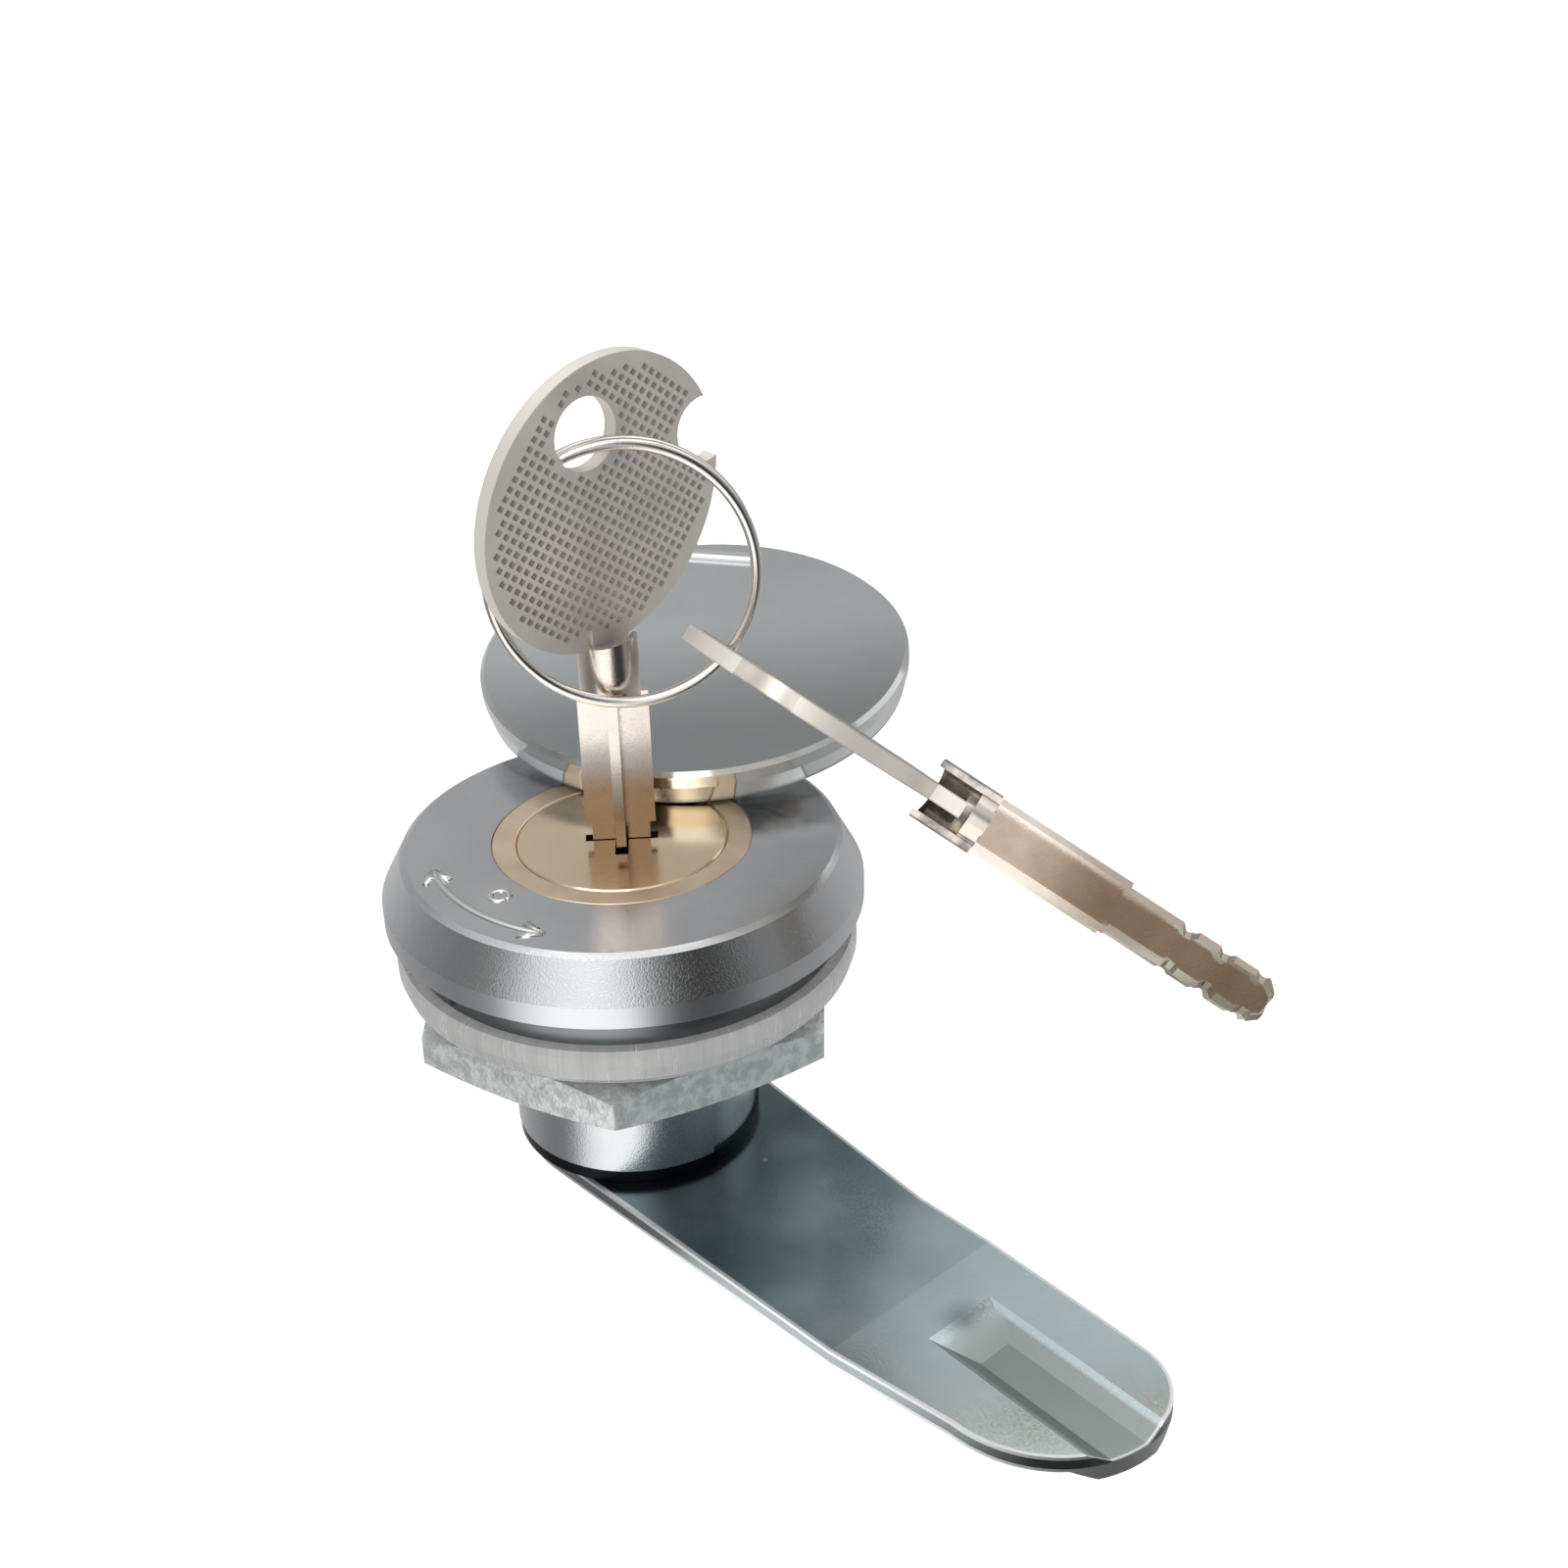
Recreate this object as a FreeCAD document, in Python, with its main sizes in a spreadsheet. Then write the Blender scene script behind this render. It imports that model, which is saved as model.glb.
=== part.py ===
import FreeCAD, Part
import math
import os
import Sketcher
from FreeCAD import Placement, Rotation, Vector

# A cabinet cam lock with a swivelling dust cover, a key in the plug and a spare key on a
# wire ring. Millimetres. The Z axis is the lock's axis, up is out of the cabinet, and
# z = 0 is the seat of the panel, under the gasket. The cam points along +X.

SIZES = [
    # head and barrel
    ("face_level", 10.7, "front face above the panel"),
    ("face_radius", 16.45, "flat front face"),
    ("face_edge", 0.3, "bevel between face and shoulder"),
    ("edge_break", 0.12, "small bevels of turned parts"),
    ("rim_radius", 18.2, "widest part of the flange"),
    ("rim_top", 7.4, "where the shoulder meets the rim"),
    ("rim_bottom", 5.6, "underside of the rim"),
    ("neck_radius", 16.5, "step between rim and gasket"),
    ("gasket_height", 3.2, "thickness of the gasket"),
    ("gasket_radius", 17.6, "gasket outside"),
    ("thread_radius", 10.95, "outside of the barrel's thread"),
    ("thread_length", 5.2, "thread below the panel seat"),
    ("barrel_radius", 9.65, "plain end of the barrel"),
    ("barrel_length", 13.4, "panel seat to the barrel's end"),
    ("relief_depth", 0.3, "shallow relief on the plain barrel"),
    ("relief_start", -3.0, "angle where the relief begins"),
    ("relief_span", 82.0, "angle that the relief covers"),
    ("running_gap", 0.05, "radial clearance of turning parts"),
    ("seat_gap", 0.02, "clearance of parts that sit still"),
    # nut
    ("nut_flats", 30.0, "across the flats"),
    ("nut_height", 3.6, "nut thickness"),
    ("nut_drop", 0.8, "gap between gasket and nut"),
    ("nut_chamfer", 0.75, "height of the corner chamfers"),
    ("nut_angle", 16.3, "angle of the first corner"),
    # cylinder
    ("ring_radius", 9.8, "brass ring in the face"),
    ("ring_depth", 3.2, "height of the ring"),
    ("sleeve_radius", 8.3, "sleeve below the ring"),
    ("sleeve_length", 15.3, "face to the sleeve's end"),
    ("disc_radius", 7.9, "plug's face disc"),
    ("disc_depth", 2.2, "thickness of the plug's face disc"),
    ("plug_radius", 5.5, "plug's body"),
    ("drive_square", 7.7, "square tail that drives the cam"),
    ("lock_pin_radius", 1.0, "cross pin of the sleeve"),
    ("lock_pin_bite", 1.0, "how far the cross pin enters the sleeve"),
    # tumblers
    ("pin_radius", 0.8, "tumbler pins"),
    ("pin_pitch", 3.0, "distance between pins of a row"),
    ("first_pin", 3.8, "face to the first pin"),
    ("driver_length", 1.3, "driver pins"),
    ("spring_wire", 0.11, "radius of the pin springs' wire"),
    ("spring_turns", 3.0, "turns of a pin spring"),
    # stop washer, cam and its screw
    ("stop_thickness", 1.1, "black stop washer"),
    ("stop_inset", 0.1, "washer smaller than the barrel by"),
    ("stop_tab_width", 3.0, "tab that runs in the barrel's notch"),
    ("stop_tab_height", 1.2, "height of that tab"),
    ("stop_ring_inner", 6.6, "inside of the notch"),
    ("stop_ring_outer", 8.6, "outside of the notch"),
    ("turn_angle", 90.0, "how far key and cam turn"),
    ("cam_thickness", 1.3, "cam plate"),
    ("cam_length", 51.0, "axis to the cam's tip"),
    ("cam_root_radius", 9.9, "round root of the cam, on the +Y side"),
    ("cam_root_other", 8.8, "the same on the -Y side"),
    ("cam_waist", 24.0, "where the +Y edge's taper ends"),
    ("cam_waist_half", 7.8, "half width there"),
    ("cam_waist_other", 31.0, "where the -Y edge's taper ends"),
    ("cam_waist_other_half", 8.7, "half width there"),
    ("cam_tip_half", 7.8, "half width near the tip, on the +Y side"),
    ("cam_tip_other_half", 7.2, "the same on the -Y side"),
    ("cam_tip_aside", 2.6, "how far the foremost point lies off the middle"),
    ("cam_bend", 31.0, "where the arm bends"),
    ("cam_bend_angle", 3.2, "how much the tip bends down"),
    ("bead_start", 34.8, "where the pressed channel begins"),
    ("bead_ramp", 3.5, "run of the channel's ramp"),
    ("bead_floor", 2.9, "width of the channel's floor"),
    ("bead_mouth", 6.3, "width of the channel's mouth"),
    ("bead_depth", 1.0, "depth of the channel"),
    ("bead_aside", 0.4, "channel off the middle"),
    ("cam_washer_radius", 7.0, "washer under the cam"),
    ("cam_washer_thickness", 1.1, "its thickness"),
    ("screw_flats", 10.0, "cam screw's head across flats"),
    ("screw_head", 3.0, "height of that head"),
    ("screw_radius", 3.0, "screw thread"),
    ("screw_length", 9.0, "screw below its head"),
    # dust cover
    ("cover_radius", 17.7, "cover's outside"),
    ("cover_thickness", 2.95, "cover's rim height"),
    ("cover_rim", 1.8, "width of the rim round the hollow underside"),
    ("cover_hollow", 0.7, "depth of that hollow"),
    ("cover_edge", 0.35, "bevel of the top edge"),
    ("cover_taper", 0.4, "how much the wall draws in below"),
    ("cover_tilt", 7.5, "how far the open cover leans up"),
    ("cover_lift", 0.12, "gap under the hinge block and under the cover"),
    ("swivel_radius", 11.2, "axis to the cover's spindle"),
    ("swivel_angle", 124.2, "direction of the spindle"),
    ("block_height", 1.0, "hinge block on the face"),
    ("block_width", 14.1, "hinge block"),
    ("block_front", 7.6, "axis to the hinge block's straight front"),
    ("block_back", 1.9, "hinge block behind the spindle"),
    ("block_edge", 0.2, "bevel round the hinge block's top"),
    ("spindle_radius", 1.1, "spindle"),
    ("spindle_pocket", 2.1, "pocket under the flange"),
    ("pocket_roof", 3.8, "flange left above the pocket"),
    ("eye_radius", 0.8, "eye at the spindle's top"),
    ("eye_thickness", 1.3, "thickness of the eye"),
    ("cover_pin_radius", 0.4, "cross pin through the eye"),
    ("cover_pin_length", 7.0, "cross pin"),
    ("cover_pin_height", 1.2, "cross pin above the cover's underside"),
    ("catch_length", 6.0, "finger catch"),
    ("catch_width", 1.3, "finger catch"),
    ("catch_height", 0.45, "how far the catch stands up"),
    ("catch_edge", 0.3, "rounding of the catch's top"),
    ("catch_aside", 1.4, "catch beside the cover's middle line"),
    ("catch_inset", 2.7, "catch inside the cover's edge"),
    ("clip_radius", 2.0, "clip at the spindle's foot"),
    ("clip_thickness", 0.5, "clip"),
    ("clip_rise", 0.9, "clip above the gasket"),
    ("return_wire", 0.2, "radius of the spindle spring's wire"),
    ("return_turns", 3.5, "turns of the spindle spring"),
    # keys
    ("key_angle", 50.5, "direction of the blade's ribs"),
    ("bow_angle", 89.5, "direction of the bow"),
    ("blade_reach", 11.2, "blade below the face"),
    ("rib_radius", 2.6, "blade's ribs"),
    ("rib_thickness", 0.75, "thickness of a rib"),
    ("bitted_radius", 2.15, "ribs along the cuts"),
    ("bitted_length", 12.6, "length with cuts, from the tip"),
    ("cut_depth", 0.55, "depth of the deepest cuts"),
    ("cut_width", 2.2, "width of a cut"),
    ("tip_bevel", 1.3, "bevel of the blade's tip"),
    ("keyway_gap", 0.12, "clearance of the key in its slot"),
    ("collar_radius", 2.4, "collar outside"),
    ("collar_wall", 0.45, "collar's sheet"),
    ("collar_bottom", 12.3, "collar's lower end above the face"),
    ("collar_height", 5.4, "collar"),
    ("collar_slant", 14.0, "slope of the collar's mouth"),
    ("collar_open", 0.9, "axis to the collar's open side"),
    ("bow_centre", 26.8, "bow's centre above the face"),
    ("bow_long", 11.05, "half the bow's long axis"),
    ("bow_short", 9.65, "half its short axis"),
    ("bow_lean", 40.0, "lean of the bow's long axis"),
    ("bow_thickness", 1.3, "bow plate"),
    ("hole_rise", 5.45, "hole's centre above the bow's centre"),
    ("hole_side", 1.25, "hole's centre beside the key's axis"),
    ("hole_radius", 2.65, "hole in the bow"),
    ("bite_radius", 2.45, "bite in the bow's edge"),
    ("bite_side", 9.2, "bite's centre beside the key's axis"),
    ("bite_rise", 3.2, "bite's centre above the bow's centre"),
    ("tang_half", 1.3, "half width of the tang in the collar"),
    # key ring
    ("loop_radius", 9.4, "key ring, to the middle of the wire"),
    ("loop_wire", 0.42, "radius of the wire"),
    ("loop_pitch", 1.0, "distance between overlapping strands"),
    ("loop_turns", 1.25, "turns of wire"),
    ("loop_start", 24.0, "wire's front end, from the ring's top"),
    ("loop_angle", -35.0, "ring's plane from the bow's"),
    ("loop_lean", 7.0, "how far the ring leans back from upright"),
    ("hang_angle", 12.1, "where the ring passes the key, from its top"),
    ("hang_drop", 1.05, "wire below the hole's centre"),
    ("hang_aside", 0.3, "wire beside the hole's centre"),
    ("spare_angle", 133.0, "where the spare key hangs, from the ring's top"),
    ("spare_heading", 28.5, "direction of the spare key"),
    ("spare_fall", 29.3, "how far it points down"),
    ("spare_roll", 58.6, "how far it is turned about its own axis"),
    ("spare_hold", 2.05, "wire above the middle of the spare key's hole"),
]

SIZE = {name: value for name, value, note in SIZES}

doc = FreeCAD.newDocument("CamLock")
sheet = doc.addObject("Spreadsheet::Sheet", "Sizes")
for row, (name, value, note) in enumerate(SIZES, 1):
    sheet.set(f"A{row}", name)
    sheet.set(f"B{row}", str(value))
    sheet.set(f"C{row}", note)
    sheet.setAlias(f"B{row}", name)
doc.recompute()

NODES = []
SKETCH_SIZE = 10


def size(name):
    """A size as the sheet holds it."""
    return float(sheet.get(name))


def bound(expression):
    """An expression in which each size's name points at its cell."""
    words = sorted(SIZE, key=len, reverse=True)
    marks = {word: f"<{index}>" for index, word in enumerate(words)}
    for word in words:
        expression = expression.replace(word, marks[word])
    for word in words:
        expression = expression.replace(marks[word], f"Sizes.{word}")
    return expression


def bind(thing, **sizes):
    """Ties properties of an object to expressions of the sheet's sizes."""
    for name, expression in sizes.items():
        thing.setExpression(name, bound(expression))
    return thing


def lift(thing, z, x="0", y="0"):
    """Ties an object's place to expressions."""
    thing.setExpression("Placement.Base.x", bound(x))
    thing.setExpression("Placement.Base.y", bound(y))
    thing.setExpression("Placement.Base.z", bound(z))
    return thing


def node(thing, label):
    """Marks an object as a finished sub-part with its own name."""
    thing.Label = label
    NODES.append(thing)
    return thing


def cylinder(name, radius, height, z, x="0", y="0"):
    """An upright cylinder that starts at z."""
    made = bind(doc.addObject("Part::Cylinder", name), Radius=radius, Height=height)
    return lift(made, z, x, y)


def box(name, length, width, height, z, x=None):
    """An upright box, centred across Y, and across X unless x is given."""
    made = doc.addObject("Part::Box", name)
    bind(made, Length=length, Width=width, Height=height)
    return lift(made, z, x or f"-({length}) / 2", f"-({width}) / 2")


def cut(name, base, tool):
    """Base without tool."""
    made = doc.addObject("Part::Cut", name)
    made.Base = base
    made.Tool = tool
    return made


def union(name, shapes):
    """Shapes joined into one."""
    made = doc.addObject("Part::MultiFuse", name)
    made.Shapes = shapes
    return made


def common(name, shapes):
    """What shapes share."""
    made = doc.addObject("Part::MultiCommon", name)
    made.Shapes = shapes
    return made


def group(name, shapes):
    """Separate solids kept together."""
    made = doc.addObject("Part::Compound", name)
    made.Links = shapes
    return made


def top_edges(thing):
    """Numbers of the edges round an object's top face."""
    top = thing.Shape.BoundBox.ZMax - 0.01
    return [number for number, edge in enumerate(thing.Shape.Edges, 1)
            if all(vertex.Z > top for vertex in edge.Vertexes)]


def plane_of(body, role):
    """One of a body's own origin planes."""
    return next(item for item in body.Origin.OriginFeatures if item.Role == role)


def polygon(body, name, role, corners):
    """A closed sketch of straight lines whose corners are pairs of expressions."""
    sketch = body.newObject("Sketcher::SketchObject", name)
    sketch.AttachmentSupport = (plane_of(body, role), [""])
    sketch.MapMode = "FlatFace"
    count = len(corners)
    turn = 2 * math.pi / count
    rough = [Vector(SKETCH_SIZE * (3 + math.cos(k * turn)), SKETCH_SIZE * math.sin(k * turn), 0)
             for k in range(count)]
    for k in range(count):
        sketch.addGeometry(Part.LineSegment(rough[k], rough[(k + 1) % count]), False)
    for k in range(count):
        joint = Sketcher.Constraint("Coincident", k, 2, (k + 1) % count, 1)
        sketch.addConstraint(joint)
    for k, (x, y) in enumerate(corners):
        for kind, start, expression in (("DistanceX", rough[k].x, x),
                                        ("DistanceY", rough[k].y, y)):
            place = sketch.addConstraint(Sketcher.Constraint(kind, -1, 1, k, 1, start))
            sketch.setExpression(f"Constraints[{place}]", bound(expression))
    return sketch


def turned(name, corners):
    """A lathe part: a profile of (radius, z) corners turned about Z."""
    body = doc.addObject("PartDesign::Body", name)
    sketch = polygon(body, name + "_profile", "XZ_Plane", corners)
    feature = body.newObject("PartDesign::Revolution", name + "_turned")
    feature.Profile = sketch
    feature.ReferenceAxis = (sketch, ["V_Axis"])
    feature.Angle = 360
    body.Tip = feature
    return body


def prism(name, flats, height, z):
    """An upright hexagonal prism given its size across the flats."""
    made = doc.addObject("Part::Prism", name)
    made.Polygon = 6
    bind(made, Circumradius=f"({flats}) / 2 / cos(30 deg)", Height=height)
    return lift(made, z)


def quarter_turns(name, make):
    """Four copies of what make builds, one for each rib of the key."""
    found = []
    for quarter in range(4):
        found += make(f"{name}{quarter}", quarter)
    return found


def radial(name, radius, start, length, level, quarter):
    """A cylinder that points away from the axis at a quarter turn."""
    made = bind(doc.addObject("Part::Cylinder", name), Radius=radius, Height=length)
    spin = Rotation(Vector(0, 0, 1), 90 * quarter)
    made.Placement = Placement(Vector(), spin * Rotation(Vector(0, 1, 0), 90))
    side = (1, 0, -1, 0)[quarter]
    ahead = (0, 1, 0, -1)[quarter]
    return lift(made, level, f"({start}) * {side}", f"({start}) * {ahead}")


def pin_level(row):
    """Height of a row of tumblers."""
    return f"face_level - first_pin - {row} * pin_pitch"


def aimed(thing, angle):
    """Turns a finished sub-part about the lock's axis."""
    thing.Placement = Placement(Vector(), Rotation(Vector(0, 0, 1), size(angle)))
    return thing


def arc_from(start, way, end):
    """The arc that leaves start along way and meets end."""
    chord = end - start
    half = chord.Length / 2
    turn = way.getAngle(chord)
    outward = (start + way * (half / math.cos(turn))) - (start + end) * 0.5
    middle = (start + end) * 0.5 + outward.normalize() * (half * math.tan(turn / 2))
    return Part.Arc(start, middle, end).toShape()


def coil(radius, wire, turns, height):
    """Wire wound upwards from z = 0: each quarter turn is two arcs that meet smoothly."""
    quarters = round(4 * turns)
    pitch = height / turns

    def spot(angle):
        return Vector(radius * math.cos(angle), radius * math.sin(angle),
                      pitch * angle / (2 * math.pi))

    def way(angle):
        return Vector(-math.sin(angle), math.cos(angle), pitch / (2 * math.pi * radius)).normalize()

    edges = []
    for k in range(quarters):
        first = 2 * math.pi * turns * k / quarters
        last = 2 * math.pi * turns * (k + 1) / quarters
        start, end = spot(first), spot(last)
        leave, arrive = way(first), way(last)
        span = end - start
        both = leave + arrive
        spread = 4 - both.dot(both)
        reach = -span.dot(both) + math.sqrt(span.dot(both) ** 2 + spread * span.dot(span))
        reach /= spread
        low = start + leave * reach
        high = end - arrive * reach
        joint = (low + high) * 0.5
        edges.append(arc_from(start, leave, joint))
        edges.append(arc_from(joint, (high - low).normalize(), end))
    section = Part.Wire([Part.makeCircle(wire, Vector(radius, 0, 0), way(0))])
    return Part.Wire(edges).makePipeShell([section], True, False)


ROWS = 3


# Head and barrel

SLEEVE_END = "face_level - sleeve_length"

housing_turned = turned("housing_turned", [
    ("ring_radius + seat_gap", "face_level"),
    ("face_radius - face_edge", "face_level"),
    ("face_radius + face_edge * (rim_radius - face_radius) / (face_level - rim_top)",
     "face_level - face_edge"),
    ("rim_radius", "rim_top"),
    ("rim_radius", "rim_bottom + edge_break"),
    ("rim_radius - edge_break", "rim_bottom"),
    ("neck_radius", "rim_bottom"),
    ("neck_radius", "gasket_height"),
    ("thread_radius", "gasket_height"),
    ("thread_radius", "-thread_length"),
    ("barrel_radius", "-thread_length"),
    ("barrel_radius", "-barrel_length"),
    ("plug_radius + running_gap", "-barrel_length"),
    ("plug_radius + running_gap", SLEEVE_END),
    ("sleeve_radius + seat_gap", SLEEVE_END),
    ("sleeve_radius + seat_gap", "face_level - ring_depth"),
    ("ring_radius + seat_gap", "face_level - ring_depth"),
])

relief_outer = cylinder("relief_outer", "rim_radius", "barrel_length - thread_length",
                        "-barrel_length")
bind(relief_outer, Angle="relief_span")
relief_inner = cylinder("relief_inner", "barrel_radius - relief_depth", "barrel_length",
                        "-barrel_length")
relief = cut("relief", relief_outer, relief_inner)
relief.Placement = Placement(Vector(), Rotation(Vector(0, 0, 1), size("relief_start")))

notch_outer = cylinder("notch_outer", "stop_ring_outer", "stop_tab_height + 0.3",
                       "-barrel_length")
notch_inner = cylinder("notch_inner", "stop_ring_inner", "stop_tab_height + 0.3",
                       "-barrel_length")
notch = cut("notch", notch_outer, notch_inner)
TAB_ANGLE = math.degrees(2 * math.asin(size("stop_tab_width") / 2 / size("stop_ring_inner")))
notch_outer.Angle = size("turn_angle") + TAB_ANGLE + 4
notch.Placement = Placement(
    Vector(), Rotation(Vector(0, 0, 1), 180 - size("turn_angle") - TAB_ANGLE / 2 - 2))

ALONG = f"{math.cos(math.radians(size('swivel_angle'))):.9f}"
ACROSS = f"{math.sin(math.radians(size('swivel_angle'))):.9f}"
SPINDLE = (f"swivel_radius * {ALONG}", f"swivel_radius * {ACROSS}")
ROOF = "face_level - pocket_roof"

spindle_hole = cylinder("spindle_hole", "spindle_radius + running_gap", "rim_radius", "0",
                        *SPINDLE)
spindle_room = cylinder("spindle_room", "spindle_pocket", f"{ROOF} - gasket_height",
                        "gasket_height", *SPINDLE)

LOCK_LEVEL = "(gasket_height + rim_bottom) / 2"
lock_hole = radial("lock_hole", "lock_pin_radius", "sleeve_radius - lock_pin_bite",
                   "rim_radius", LOCK_LEVEL, 3)
housing_tools = union("housing_tools", [relief, notch, spindle_hole, spindle_room, lock_hole])
node(cut("housing_cut", housing_turned, housing_tools), "housing")

# Gasket and nut

node(turned("gasket_turned", [
    ("thread_radius + seat_gap", "0"),
    ("gasket_radius - 1.0", "0"),
    ("gasket_radius - 0.35", "gasket_height * 0.22"),
    ("gasket_radius", "gasket_height * 0.55"),
    ("gasket_radius", "gasket_height * 0.85"),
    ("gasket_radius - 0.25", "gasket_height"),
    ("thread_radius + seat_gap", "gasket_height"),
]), "gasket")

NUT_TOP = "-nut_drop"
nut_hex = prism("nut_hex", "nut_flats", "nut_height", "-nut_drop - nut_height")
NUT_REACH = "nut_flats / 2 / cos(30 deg)"
nut_round = turned("nut_round", [
    ("thread_radius + seat_gap", NUT_TOP),
    ("nut_flats / 2 - 0.2", NUT_TOP),
    (NUT_REACH + " + 0.1", "-nut_drop - nut_chamfer"),
    (NUT_REACH + " + 0.1", "-nut_drop - nut_height + nut_chamfer"),
    ("nut_flats / 2 - 0.2", "-nut_drop - nut_height"),
    ("thread_radius + seat_gap", "-nut_drop - nut_height"),
])
node(aimed(common("nut_common", [nut_hex, nut_round]), "nut_angle"), "hex_nut")

# Brass sleeve with its chambers, and the cross pin that holds it

sleeve_turned = turned("sleeve_turned", [
    ("disc_radius + running_gap", "face_level - edge_break"),
    ("disc_radius + running_gap + edge_break", "face_level"),
    ("ring_radius - edge_break", "face_level"),
    ("ring_radius", "face_level - edge_break"),
    ("ring_radius", "face_level - ring_depth"),
    ("sleeve_radius", "face_level - ring_depth"),
    ("sleeve_radius", SLEEVE_END),
    ("plug_radius + running_gap", SLEEVE_END),
    ("plug_radius + running_gap", "face_level - disc_depth"),
    ("disc_radius + running_gap", "face_level - disc_depth"),
])


def chambers(name, start, length):
    """Radial holes for every tumbler."""
    def column(label, quarter):
        return [radial(f"{label}_{row}", "pin_radius + running_gap", start, length,
                       pin_level(row), quarter) for row in range(ROWS)]
    holes = union(name, quarter_turns(name + "_", column))
    return aimed(holes, "key_angle")


sleeve_bite = radial("sleeve_bite", "lock_pin_radius + seat_gap",
                     "sleeve_radius - lock_pin_bite", "rim_radius", LOCK_LEVEL, 3)
sleeve_tools = union("sleeve_tools", [
    chambers("sleeve_chambers", "disc_radius / 2", "rim_radius"), sleeve_bite])
node(cut("sleeve_cut", sleeve_turned, sleeve_tools), "cylinder_sleeve")

node(radial("lock_pin", "lock_pin_radius - seat_gap",
            "sleeve_radius - lock_pin_bite + seat_gap",
            "neck_radius - sleeve_radius + lock_pin_bite - 2 * seat_gap - 0.2",
            LOCK_LEVEL, 3), "sleeve_lock_pin")

# Plug with the cross keyway and the square tail

TAIL_END = "-barrel_length - stop_thickness - cam_thickness"

plug_turned = turned("plug_turned", [
    ("0", "face_level"),
    ("disc_radius - edge_break", "face_level"),
    ("disc_radius", "face_level - edge_break"),
    ("disc_radius", "face_level - disc_depth + seat_gap"),
    ("plug_radius", "face_level - disc_depth + seat_gap"),
    ("plug_radius", "-barrel_length"),
    ("plug_radius", TAIL_END + " + seat_gap"),
    ("0", TAIL_END + " + seat_gap"),
])
tail_block = box("tail_block", "4 * plug_radius", "4 * plug_radius",
                 "stop_thickness + cam_thickness", TAIL_END)
tail_square = box("tail_square", "drive_square", "drive_square",
                  "stop_thickness + cam_thickness", TAIL_END)
tail_waste = cut("tail_waste", tail_block, tail_square)

KEYWAY_END = "face_level - blade_reach - 0.5"
SLOT = "rib_thickness + 2 * keyway_gap"
keyway_wide = box("keyway_wide", "2 * (rib_radius + keyway_gap)", SLOT,
                  "blade_reach + 1.5", KEYWAY_END)
keyway_deep = box("keyway_deep", SLOT, "2 * (rib_radius + keyway_gap)",
                  "blade_reach + 1.5", KEYWAY_END)
keyway = aimed(union("keyway", [keyway_wide, keyway_deep]), "key_angle")
screw_hole = cylinder("screw_hole", "screw_radius", "screw_length + 2", TAIL_END + " - 1")
plug_tools = union("plug_tools", [
    keyway, screw_hole, tail_waste,
    chambers("plug_chambers", "rib_radius / 2", "plug_radius + running_gap - rib_radius / 2")])
node(cut("plug_cut", plug_turned, plug_tools), "plug")

# Tumblers, in three rows on each of the four ribs, at the shear line

PIN_FOOT = "bitted_radius + running_gap"
PIN_HEAD = "plug_radius - 0.1"


def key_pin_column(label, quarter):
    """The key pins of one rib."""
    return [radial(f"{label}_{row}", "pin_radius", PIN_FOOT, f"{PIN_HEAD} - ({PIN_FOOT})",
                   pin_level(row), quarter) for row in range(ROWS)]


def driver_column(label, quarter):
    """The driver pins of one rib."""
    return [radial(f"{label}_{row}", "pin_radius", "plug_radius + 2 * running_gap",
                   "driver_length", pin_level(row), quarter) for row in range(ROWS)]


node(aimed(group("key_pin_group", quarter_turns("key_pin_", key_pin_column)), "key_angle"),
     "key_pins")
node(aimed(group("driver_group", quarter_turns("driver_", driver_column)), "key_angle"),
     "driver_pins")

spring_start = size("plug_radius") + 3 * size("running_gap") + size("driver_length")
spring_room = size("sleeve_radius") - spring_start - size("running_gap")
one_spring = coil(size("pin_radius") - size("spring_wire") - size("running_gap"),
                  size("spring_wire"), size("spring_turns"),
                  spring_room - 2 * size("spring_wire"))
springs = []
for quarter in range(4):
    for row in range(ROWS):
        level = size("face_level") - size("first_pin") - row * size("pin_pitch")
        spin = Rotation(Vector(0, 0, 1), size("key_angle") + 90 * quarter)
        place = Placement(Vector(0, 0, level), spin)
        out = Placement(Vector(spring_start + size("spring_wire"), 0, 0),
                        Rotation(Vector(0, 1, 0), 90))
        springs.append(one_spring.copy())
        springs[-1].Placement = place.multiply(out)
pin_springs = node(doc.addObject("Part::Feature", "pin_spring_group"), "pin_springs")
pin_springs.Shape = Part.makeCompound(springs)

# Stop washer with the tab that runs in the barrel's notch

stop_disc = cylinder("stop_disc", "barrel_radius - stop_inset",
                     "stop_thickness - 2 * seat_gap",
                     "-barrel_length - stop_thickness + seat_gap")
stop_hole = box("stop_hole", "drive_square + 2 * running_gap",
                "drive_square + 2 * running_gap", "3 * stop_thickness",
                "-barrel_length - 2 * stop_thickness")
stop_tab = box("stop_tab", "stop_ring_outer - stop_ring_inner - 4 * running_gap",
               "stop_tab_width", "stop_tab_height + stop_thickness / 2",
               "-barrel_length - stop_thickness / 2",
               "-stop_ring_outer + 3 * running_gap")
stop_ring = cut("stop_ring", stop_disc, stop_hole)
node(union("stop_washer_union", [stop_ring, stop_tab]), "stop_washer")

# Cam: the arm's plan shape, its side view with the bend, and the pressed channel

CAM_TOP = "-barrel_length - stop_thickness"
bend_slope = math.tan(math.radians(size("cam_bend_angle")))
DROP = f"(cam_length + 2 - cam_bend) * {bend_slope:.9f}"

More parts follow.
